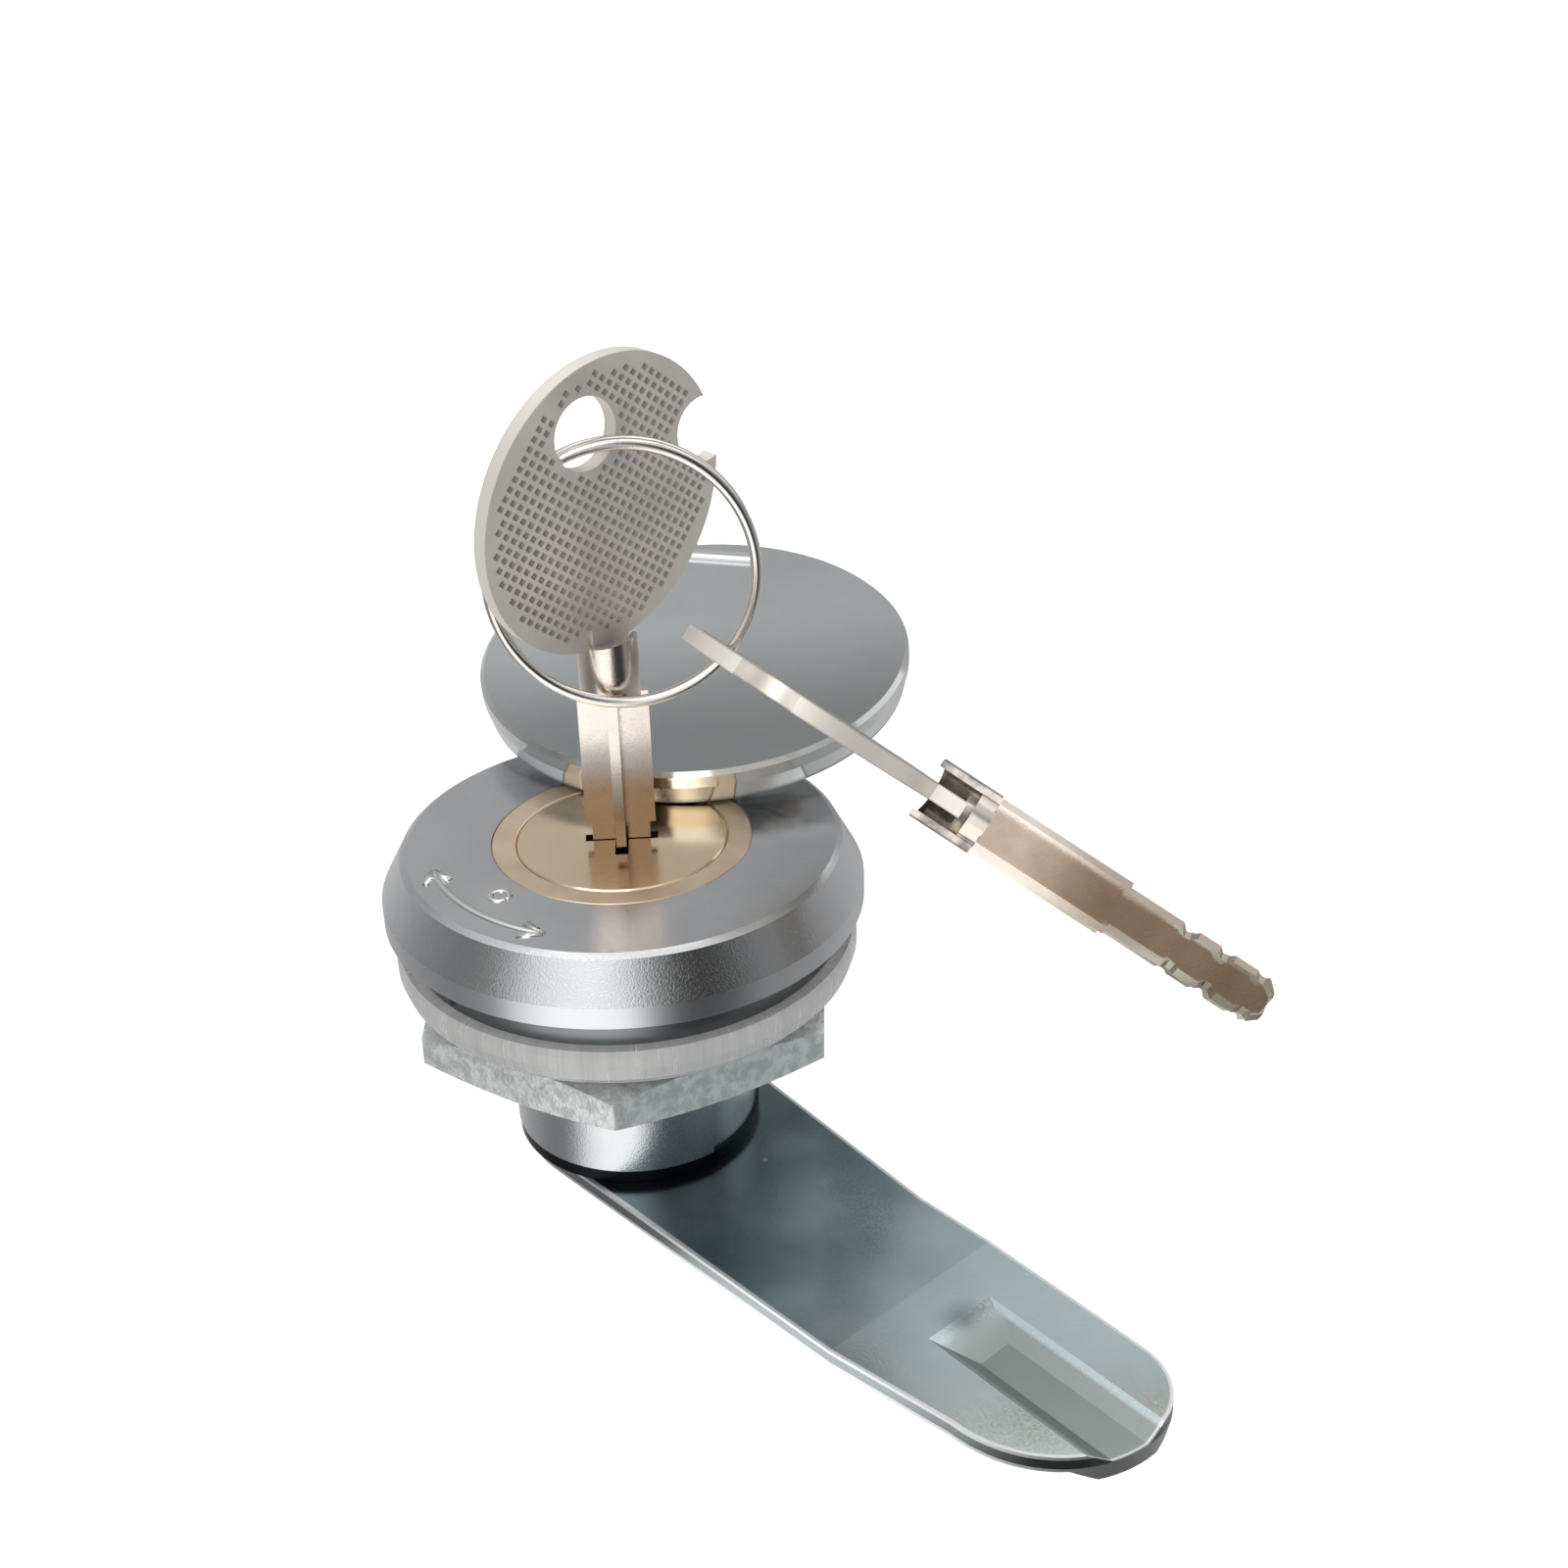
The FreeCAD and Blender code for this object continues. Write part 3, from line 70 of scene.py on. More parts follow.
class Sheet:
    """A shader node tree that is filled one node at a time."""

    def __init__(self, tree: bpy.types.NodeTree) -> None:
        """Starts from an existing tree."""
        self.tree = tree
        self.count = 0

    def add(self, kind: str, **settings: object) -> bpy.types.Node:
        """Adds a node.

        Args:
            kind: Blender's name of the node type.
            settings: properties to set on it.

        Returns:
            The new node.
        """
        node = self.tree.nodes.new(kind)
        node.location = (180 * (self.count % 12), -220 * (self.count // 12))
        self.count += 1
        for name, value in settings.items():
            setattr(node, name, value)
        return node

    def feed(self, socket: Socket, source: object) -> None:
        """Links a socket to another, or sets its value.

        Args:
            socket: the input to feed.
            source: an output socket or a plain value.
        """
        if isinstance(source, Socket):
            self.tree.links.new(source, socket)
        elif isinstance(source, (tuple, list)) and len(source) == 3 and socket.type == "RGBA":
            socket.default_value = (*source, 1.0)
        else:
            socket.default_value = source

    def fill(self, node: bpy.types.Node, *sources: object, **named: object) -> bpy.types.Node:
        """Feeds a node's inputs.

        Args:
            node: the node.
            sources: sockets or plain values for its first inputs, in order.
            named: the same for inputs by name, with _ for a space.

        Returns:
            The node itself.
        """
        for socket, source in zip(node.inputs, sources):
            self.feed(socket, source)
        for name, source in named.items():
            self.feed(node.inputs[name.replace("_", " ")], source)
        return node

    def made(self, kind: str, *sources: object, **named: object) -> Socket:
        """First output of a new node that is filled."""
        return self.fill(self.add(kind), *sources, **named).outputs[0]

    def math(self, operation: str, *sources: object) -> Socket:
        """Result of a Math node."""
        return self.fill(self.add("ShaderNodeMath", operation=operation), *sources).outputs[0]

    def vector(self, operation: str, *sources: object) -> Socket:
        """A Vector Math node's number, or its vector where it makes no number."""
        node = self.fill(self.add("ShaderNodeVectorMath", operation=operation), *sources)
        return node.outputs["Value" if operation in ("DOT_PRODUCT", "LENGTH") else "Vector"]

    def mixed(self, factor: object, first: object, second: object,
              **settings: object) -> Socket:
        """A colour mix.

        Args:
            factor: how much of the second colour.
            first: a colour or socket.
            second: a colour or socket.
            settings: other properties of the node.

        Returns:
            The mixed colour.
        """
        node = self.add("ShaderNodeMix", data_type="RGBA", **settings)
        for place, source in ((0, factor), (6, first), (7, second)):
            self.feed(node.inputs[place], source)
        return node.outputs[2]

    def dimmed(self, mask: object, colour: Socket, shade: Colour) -> Socket:
        """A colour multiplied by a shade where a mask is on."""
        return self.mixed(mask, colour, shade, blend_type="MULTIPLY")

    def blended(self, factor: object, first: object, second: object) -> Socket:
        """A mix of two numbers."""
        node = self.add("ShaderNodeMix", data_type="FLOAT")
        return self.fill(node, factor, A=first, B=second).outputs[0]

    def ranged(self, value: object, low: float, high: float, to_low: float = 0.0,
               to_high: float = 1.0, smooth: bool = False) -> Socket:
        """A number mapped from one range to another and clamped, with both ends eased if smooth."""
        node = self.add("ShaderNodeMapRange", clamp=True,
                        interpolation_type="SMOOTHSTEP" if smooth else "LINEAR")
        return self.fill(node, value, low, high, to_low, to_high).outputs[0]

    def noise(self, vector: object, scale: object, detail: float, roughness: float) -> Socket:
        """A noise texture's value, its scale in cells per metre."""
        return self.made("ShaderNodeTexNoise", Vector=vector, Scale=scale, Detail=detail,
                         Roughness=roughness)

    def parts(self, vector: object) -> list[Socket]:
        """X, Y and Z of a vector."""
        return list(self.fill(self.add("ShaderNodeSeparateXYZ"), vector).outputs)

    def joined(self, x: object, y: object, z: object) -> Socket:
        """A vector from three numbers."""
        return self.made("ShaderNodeCombineXYZ", x, y, z)

    def local(self, where: Socket, origin: Point, axes: Axes) -> list[Socket]:
        """X, Y and Z of a place in a piece's own frame, whose origin is in metres."""
        shift = self.vector("SUBTRACT", where, origin)
        return [self.vector("DOT_PRODUCT", shift, axis) for axis in axes]

    def chosen(self, factor: object, first: Socket, second: Socket) -> Socket:
        """One shader or another, by a factor."""
        return self.made("ShaderNodeMixShader", factor, first, second)

    def direct(self, paths: bpy.types.Node) -> Socket:
        """One where the eye sees straight, also through something clear."""
        return self.math("MAXIMUM", paths.outputs["Is Camera Ray"],
                         paths.outputs["Is Transmission Ray"])

    def placed(self, group: bpy.types.NodeTree, **values: object) -> list[Socket]:
        """Outputs of a group placed with its own values."""
        return list(self.fill(self.add("ShaderNodeGroup", node_tree=group), **values).outputs)


class Effects:
    """Shader groups shared by the finishes, each built once."""

    def __init__(self) -> None:
        """Builds every group."""
        self.grain = self._grain()
        self.clouds = self._clouds()
        self.band = self._band()
        self.streaks = self._streaks()
        self.specks = self._specks()
        self.surround = self._surround()

    @staticmethod
    def _open(name: str, inputs: dict[str, object],
              **outputs: Kind) -> tuple[Sheet, list[Socket], bpy.types.Node]:
        """Opens a group with named sockets.

        Args:
            name: the group's name.
            inputs: default values by name, None for a vector.
            outputs: socket kinds by name.

        Returns:
            The sheet, what the group is given, and its output node.
        """
        tree = bpy.data.node_groups.new(name, "ShaderNodeTree")
        kinds = {type(None): Kind.VECTOR, float: Kind.VALUE, tuple: Kind.COLOUR}
        for label, value in inputs.items():
            socket = tree.interface.new_socket(label, in_out="INPUT",
                                               socket_type=kinds[type(value)].value)
            if value is not None:
                socket.default_value = value
        for label, kind in outputs.items():
            tree.interface.new_socket(label, in_out="OUTPUT", socket_type=kind.value)
        sheet = Sheet(tree)
        given = sheet.add("NodeGroupInput")
        return sheet, list(given.outputs)[:len(inputs)], sheet.add("NodeGroupOutput")

    def _grain(self) -> bpy.types.NodeTree:
        """Fine grain of a blasted or satin surface."""
        sheet, (where, size, low, high), made = self._open(
            "surface_grain", {"Vector": None, "Size": 0.0002, "Low": 0.2, "High": 0.4},
            Roughness=Kind.VALUE, Height=Kind.VALUE)
        value = sheet.noise(where, sheet.math("DIVIDE", 1.0, size), 3.0, 0.6)
        sheet.fill(made, sheet.blended(sheet.ranged(value, 0.32, 0.68), low, high), value)
        return sheet.tree

    def _clouds(self) -> bpy.types.NodeTree:
        """Soft changes of colour from place to place."""
        sheet, (where, size, contrast, dark, light), made = self._open(
            "cloud_tint", {"Vector": None, "Size": 0.01, "Contrast": 0.5,
                           "Colour A": (0.5, 0.5, 0.5, 1), "Colour B": (0.6, 0.6, 0.6, 1)},
            Colour=Kind.COLOUR)
        value = sheet.noise(where, sheet.math("DIVIDE", 1.0, size), 3.0, 0.55)
        centred = sheet.math("SUBTRACT", value, 0.5)
        gain = sheet.math("MULTIPLY", contrast, 6.0)
        factor = sheet.ranged(sheet.math("MULTIPLY_ADD", centred, gain, 0.5), 0.0, 1.0)
        sheet.fill(made, sheet.mixed(factor, dark, light))
        return sheet.tree

    def _band(self) -> bpy.types.NodeTree:
        """A soft-edged band where a value lies near its centre."""
        sheet, (value, centre, half, soft), made = self._open(
            "line_band", {"Value": 0.0, "Centre": 0.0, "Half": 0.001, "Soft": 0.0002},
            Mask=Kind.VALUE)
        gap = sheet.math("ABSOLUTE", sheet.math("SUBTRACT", value, centre))
        part = sheet.math("DIVIDE", sheet.math("SUBTRACT", gap, half), soft)
        sheet.fill(made, sheet.ranged(part, -0.5, 0.5, 1.0, 0.0, smooth=True))
        return sheet.tree

    def _streaks(self) -> bpy.types.NodeTree:
        """Upright streaks round the lock's axis."""
        sheet, (where, width, length), made = self._open(
            "upright_streaks", {"Vector": None, "Width": 0.0006, "Length": 0.02},
            Value=Kind.VALUE)
        x, y, z = sheet.parts(where)
        arc = sheet.math("MULTIPLY", sheet.math("ARCTAN2", y, x), 0.016)
        place = sheet.joined(sheet.math("DIVIDE", arc, width), sheet.math("DIVIDE", z, length),
                             0.0)
        sheet.fill(made, sheet.ranged(sheet.noise(place, 1.0, 3.0, 0.6), 0.3, 0.7))
        return sheet.tree

    def _specks(self) -> bpy.types.NodeTree:
        """Sparse small marks of handling."""
        sheet, (where, size, share), made = self._open(
            "handling_specks", {"Vector": None, "Size": 0.001, "Share": 0.1}, Mask=Kind.VALUE)
        cells = sheet.fill(sheet.add("ShaderNodeTexVoronoi", feature="F1"), Vector=where,
                           Scale=sheet.math("DIVIDE", 1.0, size))
        close = sheet.ranged(cells.outputs["Distance"], 0.10, 0.22, 1.0, 0.0)
        pick = sheet.parts(cells.outputs["Color"])[0]
        sheet.fill(made, sheet.math("MULTIPLY", close, sheet.math("LESS_THAN", pick, share)))
        return sheet.tree

    def _surround(self) -> bpy.types.NodeTree:
        """Brightness of the studio in each direction, as metal sees it."""
        sheet, (where,), made = self._open("studio_surround", {"Vector": None},
                                           Value=Kind.VALUE)
        x, y, z = sheet.parts(sheet.vector("NORMALIZE", where))
        turned = sheet.math("SUBTRACT", sheet.math("ARCTAN2", y, x), PHOTO_TURN - math.pi / 2)
        share = sheet.math("FRACT", sheet.math("ADD", sheet.math(
            "DIVIDE", turned, 2 * math.pi), 1.5))
        ramp = sheet.fill(sheet.add("ShaderNodeValToRGB"), share)
        stops = Studio.AROUND
        while len(ramp.color_ramp.elements) < len(stops):
            ramp.color_ramp.elements.new(1.0)
        for element, (degrees, value) in zip(ramp.color_ramp.elements, stops):
            element.position = (degrees + 180) / 360
            element.color = (value, value, value, 1.0)
        level = sheet.parts(ramp.outputs[0])[0]
        high = sheet.ranged(z, 0.50, 0.85, smooth=True)
        sheet.fill(made, sheet.blended(high, level, 0.95))
        return sheet.tree


# Finishes


def opened(name: str) -> tuple[bpy.types.Material, Sheet, Socket]:
    """Opens a material.

    Args:
        name: its name.

    Returns:
        The material, its sheet and the piece's own coordinates.
    """
    made = bpy.data.materials.new(name)
    made.use_nodes = True
    made.node_tree.nodes.clear()
    sheet = Sheet(made.node_tree)
    return made, sheet, sheet.add("ShaderNodeTexCoord").outputs["Object"]


def closed(sheet: Sheet, depth: float, height: Socket, **looks: object) -> None:
    """Ends a material with its surface and bump.

    Args:
        sheet: the material's nodes.
        depth: depth of the bump in metres.
        height: what raises it.
        looks: inputs of the surface, by name.
    """
    bump = sheet.made("ShaderNodeBump", Strength=1.0, Distance=depth, Height=height)
    shader = sheet.made("ShaderNodeBsdfPrincipled", Normal=bump, **looks)
    sheet.fill(sheet.add("ShaderNodeOutputMaterial"), Surface=shader)


@dataclass(frozen=True)
class Metal:
    """A plated or plain metal finish.

    Attributes:
        name: the material's name.
        light: brighter colour of its clouds.
        dark: deeper colour of its clouds.
        cloud: size of the clouds in metres.
        contrast: strength of the clouds.
        grain: size of the grain in metres.
        low: least roughness.
        high: most roughness.
        bump: depth of the grain in metres.
        specks: share of cells with a handling mark.
        metal: how far it mirrors as metal; a dull plating also scatters light.
    """

    name: str
    light: Colour
    dark: Colour
    cloud: float = 0.012
    contrast: float = 0.5
    grain: float = 0.0002
    low: float = 0.2
    high: float = 0.35
    bump: float = 0.000004
    specks: float = 0.0
    metal: float = 1.0

    def material(self, effects: Effects) -> bpy.types.Material:
        """Builds the material.

        Args:
            effects: the shared groups.

        Returns:
            The finished material.
        """
        made, sheet, where = opened(self.name)
        colour, rough, height = self.surface(sheet, where, effects)
        closed(sheet, self.bump, height, Metallic=self.metal, Base_Color=colour,
               Roughness=rough)
        return made

    def surface(self, sheet: Sheet, where: Socket, effects: Effects) -> Skin:
        """Colour, roughness and height of the plain finish.

        Args:
            sheet: the material's tree.
            where: object coordinates.
            effects: the shared groups.

        Returns:
            Colour, roughness and height.
        """
        colour = sheet.placed(effects.clouds, Vector=where, Size=self.cloud,
                              Contrast=self.contrast, Colour_A=self.dark,
                              Colour_B=self.light)[0]
        rough, height = sheet.placed(effects.grain, Vector=where, Size=self.grain,
                                     Low=self.low, High=self.high)
        if self.specks:
            marks = sheet.placed(effects.specks, Vector=where, Size=0.0011, Share=self.specks)[0]
            colour = sheet.mixed(marks, colour, (0.86, 0.87, 0.87))
        return colour, rough, height


@dataclass(frozen=True)
class HeadChrome(Metal):
    """Satin chrome of the head: smooth face, sparkling shoulder, bright rim lines, painted shade on
    the neck.
    """

    def surface(self, sheet: Sheet, where: Socket, effects: Effects) -> Skin:
        """Colour, roughness and height, zone by zone."""
        colour, rough, height = super().surface(sheet, where, effects)
        z = sheet.parts(where)[2]
        face = sheet.ranged(z, 0.01055, 0.01065)
        rim = sheet.placed(effects.band, Value=z, Centre=0.0065, Half=0.00085, Soft=0.0001)[0]
        fine = sheet.placed(effects.grain, Vector=where, Size=0.00045, Low=0.17, High=0.24)[0]
        rough = sheet.blended(rim, sheet.blended(face, rough, fine), 0.30)
        # Painted shade: the neck under the flange's rim is darkened; the same band also gets its
        # own roughness and a calmer grain.
        neck_shade = sheet.placed(effects.band, Value=z, Centre=0.0043, Half=0.00125, Soft=0.0001)[0]
        colour = sheet.dimmed(neck_shade, colour, (0.35, 0.37, 0.37))
        rough = sheet.blended(neck_shade, rough, 0.34)
        still = sheet.math("MAXIMUM", face, sheet.math("MAXIMUM", rim, neck_shade))
        calm = sheet.math("SUBTRACT", 1.0, sheet.math("MULTIPLY", still, 0.85))
        return colour, rough, sheet.math("MULTIPLY", sheet.math("SUBTRACT", height, 0.5), calm)


@dataclass(frozen=True)
class CamZinc(Metal):
    """Blue passivated zinc of the cam: clouded plate, grey channel, painted shade and reflection,
    painted highlight on the sheared edge.

    Attributes:
        top: height of the plate's upper face, in metres.
        bend: where the arm bends.
        slope: how steeply it falls beyond.
        aside: how far the foremost point lies off the middle.
    """

    top: float = -0.0145
    bend: float = 0.031
    slope: float = 0.0559
    aside: float = 0.0026

    @staticmethod
    def within(sheet: Sheet, x: Socket, out: Socket, last: float,
               corner: float, taper: tuple[float, float, float]) -> Socket:
        """How far a point lies inside one long edge and its corner at the tip.

        Args:
            sheet: the material's nodes.
            x: the place along the arm.
            out: the place across it, from the corner's centre towards the edge.
            last: where the corner begins.
            corner: its radius.
            taper: where the edge begins to draw in, where it ends, and by how much.

        Returns:
            The distance to the edge.
        """
        wider = sheet.ranged(x, *taper, 0.0)
        reach = sheet.vector("LENGTH", sheet.joined(
            sheet.math("MAXIMUM", sheet.math("SUBTRACT", x, last), 0.0),
            sheet.math("MAXIMUM", out, 0.0), 0.0))
        return sheet.math("SUBTRACT", sheet.math("ADD", wider, corner), reach)

    def surface(self, sheet: Sheet, where: Socket, effects: Effects) -> Skin:
        """Colour, roughness and height along the arm."""
        colour, rough, height = super().surface(sheet, where, effects)
        x, y, z = sheet.parts(where)
        # Painted shade: the arm is darker at its root, next to the barrel.
        root_shade = sheet.ranged(x, 0.008, 0.019, 1.0, 0.0, smooth=True)
        colour = sheet.dimmed(root_shade, colour, (0.34, 0.36, 0.36))
        # Painted reflection: the arm lightens towards its tip.
        along = sheet.ranged(x, 0.016, 0.044, smooth=True)
        colour = sheet.mixed(sheet.math("MULTIPLY", along, 0.75), colour, (0.66, 0.77, 0.78))
        # Painted shade where the channel starts, across the middle of the arm.
        start_dark = sheet.placed(effects.band, Value=x, Centre=0.0352, Half=0.0010,
                                  Soft=0.003)[0]
        middle = sheet.placed(effects.band, Value=y, Centre=0.0005, Half=0.0012, Soft=0.003)[0]
        channel_start_shade = sheet.math("MULTIPLY", start_dark, middle)
        colour = sheet.dimmed(channel_start_shade, colour, (0.40, 0.43, 0.43))
        fall = sheet.math("MULTIPLY", sheet.math(
            "MAXIMUM", sheet.math("SUBTRACT", x, self.bend), 0.0), self.slope)
        below = sheet.math("SUBTRACT", sheet.math("SUBTRACT", self.top, fall), z)
        inner = sheet.placed(effects.band, Value=y, Centre=0.0004, Half=0.0030, Soft=0.0003)[0]
        start = sheet.ranged(x, 0.034, 0.038, smooth=True)
        channel = sheet.math("MULTIPLY", sheet.math("MULTIPLY", sheet.ranged(
            below, 0.00020, 0.00035), inner), start)
        grey = sheet.placed(effects.grain, Vector=where, Size=0.00018, Low=0.34, High=0.52)[0]
        colour = sheet.mixed(channel, colour, (0.36, 0.40, 0.39))
        rough = sheet.blended(channel, rough, grey)
        far = self.within(sheet, x, sheet.math("SUBTRACT", y, self.aside), 0.0458, 0.0052,
                          (0.0035, 0.024, 0.0021))
        near = self.within(sheet, x, sheet.math("SUBTRACT", self.aside, y), 0.0412, 0.0098,
                           (0.031, 0.0412, 0.0015))
        inside = sheet.math("MINIMUM", far, near)
        rim = sheet.ranged(inside, 0.00006, 0.00016, 1.0, 0.0)
        # Painted shade on the plate's side wall, just under its top edge.
        side = sheet.math("MULTIPLY", rim, sheet.placed(
            effects.band, Value=below, Centre=0.00065, Half=0.00038, Soft=0.00008)[0])
        colour = sheet.mixed(side, colour, (0.34, 0.37, 0.38))
        # Painted highlight along the sheared top edge of the plate.
        edge = sheet.math("MULTIPLY", sheet.ranged(inside, 0.00018, 0.00032, 1.0, 0.0),
                          sheet.math("SUBTRACT", 1.0, side))
        colour = sheet.mixed(edge, colour, (0.90, 0.92, 0.92))
        rough = sheet.blended(edge, rough, 0.5)
        return colour, rough, height


@dataclass(frozen=True)
class Framed(Metal):
    """A finish that changes along a piece's own frame.

    Attributes:
        origin: the frame's origin, in metres.
        axes: its X, Y and Z directions.
    """

    origin: Point = (0.0, 0.0, 0.0)
    axes: Axes = STRAIGHT


@dataclass(frozen=True)
class TwoTone(Framed):
    """A finish whose flat faces and edges differ, seen in a piece's own frame, with painted shade
    low in its middle.

    Attributes:
        half: half its thickness, in metres.
        edge: colour of the edge band.
    """

    half: float = 0.00065
    edge: Colour = (0.9, 0.86, 0.8)

    def surface(self, sheet: Sheet, where: Socket, effects: Effects) -> Skin:
        """Colour, roughness and height of faces and edge."""
        colour, rough, height = super().surface(sheet, where, effects)
        x, y, z = sheet.local(where, self.origin, self.axes)
        # Painted shade: the bow is darker low in its middle, towards the collar.
        middle = sheet.placed(effects.band, Value=x, Centre=-0.0015, Half=0.0015, Soft=0.009)[0]
        low = sheet.ranged(z, 0.027, 0.040, 1.0, 0.25, smooth=True)
        colour = sheet.dimmed(sheet.math("MULTIPLY", middle, low), colour, (0.58, 0.55, 0.53))
        away = sheet.math("ABSOLUTE", y)
        edge = sheet.ranged(away, self.half - 0.00012, self.half - 0.00004, 1.0, 0.0)
        colour = sheet.mixed(edge, colour, self.edge)
        rough = sheet.blended(edge, rough, 0.42)
        return colour, rough, height


@dataclass(frozen=True)
class BladeNickel(Framed):
    """Bright nickel of a blade that darkens and warms towards one end, as painted shade.

    Attributes:
        dark_end: where along Z it is darkest, in metres.
        bright_end: where along Z it is plain.
        shade: the painted shade that the dark end multiplies its colour by.
    """

    dark_end: float = 0.0135
    bright_end: float = 0.0205
    shade: Colour = (0.34, 0.28, 0.24)

    def surface(self, sheet: Sheet, where: Socket, effects: Effects) -> Skin:
        """Colour, roughness and height along the blade."""
        colour, rough, height = super().surface(sheet, where, effects)
        z = sheet.local(where, self.origin, self.axes)[2]
        # Painted shade: the blade darkens and warms towards its dark end.
        low = sheet.ranged(z, self.dark_end, self.bright_end, 1.0, 0.0, smooth=True)
        return sheet.dimmed(low, colour, self.shade), rough, height


@dataclass(frozen=True)
class CoverChrome(Framed):
    """Satin top with painted shade towards the pin's side, bright rim line and polished wall of the
    dust cover.

    Attributes:
        radius: the cover's outside radius, in metres.
    """

    radius: float = 0.0177

    def surface(self, sheet: Sheet, where: Socket, effects: Effects) -> Skin:
        """Colour, roughness and height from the cover's middle to its wall."""
        colour, rough, height = super().surface(sheet, where, effects)
        x, y, _ = sheet.local(where, self.origin, self.axes)
        # Painted shade: the cover's top darkens towards the pin's side.
        near = sheet.ranged(sheet.math("MULTIPLY_ADD", y, 0.35, x), -0.014, 0.006, 1.0, 0.0,
                            smooth=True)
        colour = sheet.dimmed(near, colour, (0.50, 0.51, 0.50))
        out = sheet.vector("LENGTH", sheet.joined(x, y, 0.0))
        wall = sheet.ranged(out, self.radius - 0.0004, self.radius - 0.0003)
        rough = sheet.blended(wall, rough, 0.10)
        colour = sheet.mixed(wall, colour, (0.78, 0.79, 0.79))
        calm = sheet.math("MULTIPLY", sheet.math("SUBTRACT", height, 0.5), sheet.math(
            "SUBTRACT", 1.0, wall))
        return colour, rough, calm


@dataclass(frozen=True)
class Milky:
    """Translucent moulded plastic with upright flow streaks."""

    name: str
    colour: Colour

    def material(self, effects: Effects) -> bpy.types.Material:
        """Builds the material.

        Args:
            effects: the shared groups.

        Returns:
            The finished material.
        """
        made, sheet, where = opened(self.name)
        streaks = sheet.placed(effects.streaks, Vector=where, Width=0.0011, Length=0.03)[0]
        fine = sheet.placed(effects.streaks, Vector=where, Width=0.00028, Length=0.01)[0]
        both = sheet.blended(0.4, streaks, fine)
        colour = sheet.mixed(both, tuple(0.72 * c for c in self.colour), self.colour)
        closed(sheet, 0.00006, both, Base_Color=colour, IOR=1.46, Transmission_Weight=0.45,
               Roughness=sheet.ranged(both, 0.0, 1.0, 0.12, 0.34), Coat_Weight=0.4,
               Coat_Roughness=0.1)
        return made


# Geometry Nodes


def put(name: str, data: bpy.types.ID) -> bpy.types.Object:
    """Puts a new object in the scene.

    Args:
        name: its name.
        data: its mesh, lamp or camera.

    Returns:
        The object.
    """
    made = bpy.data.objects.new(name, data)
    bpy.context.scene.collection.objects.link(made)
    return made


class Grown(Sheet):
    """A piece grown by a Geometry Nodes tree and kept as a plain mesh."""

    def __init__(self, name: str, inputs: dict[str, float], finish: bpy.types.Material) -> None:
        """Opens the tree.

        Args:
            name: the piece's name.
            inputs: named sizes of the tree.
            finish: its material.
        """
        super().__init__(bpy.data.node_groups.new(name + "_tree", "GeometryNodeTree"))
        self.name = name
        self.finish = finish
        self.sizes = dict(inputs)
        sockets = [("Geometry", "INPUT", "NodeSocketGeometry")]
        sockets += [(label, "INPUT", Kind.VALUE.value) for label in inputs]
        for label, way, kind in (*sockets, ("Geometry", "OUTPUT", "NodeSocketGeometry")):
            self.tree.interface.new_socket(label, in_out=way, socket_type=kind)
        self.given = self.add("NodeGroupInput")
        self.end = self.add("NodeGroupOutput")

    def size(self, label: str) -> Socket:
        """One of the tree's named inputs."""
        return self.given.outputs[label]

    def close(self, geometry: Socket) -> None:
        """Ends the tree with its finish on."""
        self.fill(self.end, self.made("GeometryNodeSetMaterial", Material=self.finish,
                                      Geometry=self.made("GeometryNodeRealizeInstances", geometry)))

    def mesh(self, place: Matrix, body: Body) -> bpy.types.Object:
        """Runs the tree once and keeps the result as a plain mesh.

        Args:
            place: where the mesh goes, in the row frame.
            body: the body it rides on.

        Returns:
            The finished piece.
        """
        seed = put(self.name + "_seed", bpy.data.meshes.new(self.name + "_seed"))
        grow = seed.modifiers.new("grow", "NODES")
        grow.node_group = self.tree
        named = {item.name: item.identifier for item in self.tree.interface.items_tree
                 if item.in_out == "INPUT"}
        for label, value in self.sizes.items():
            grow[named[label]] = float(value)
        seen = seed.evaluated_get(bpy.context.evaluated_depsgraph_get())
        mesh = bpy.data.meshes.new_from_object(seen)
        seed.modifiers.remove(grow)
        bpy.data.objects.remove(seed)
        mesh.transform(place)
        piece = put(self.name, mesh)
        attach(piece, body.value)
        LOG.info("%s: %d faces", self.name, len(mesh.polygons))
        return piece


# The lock's pieces


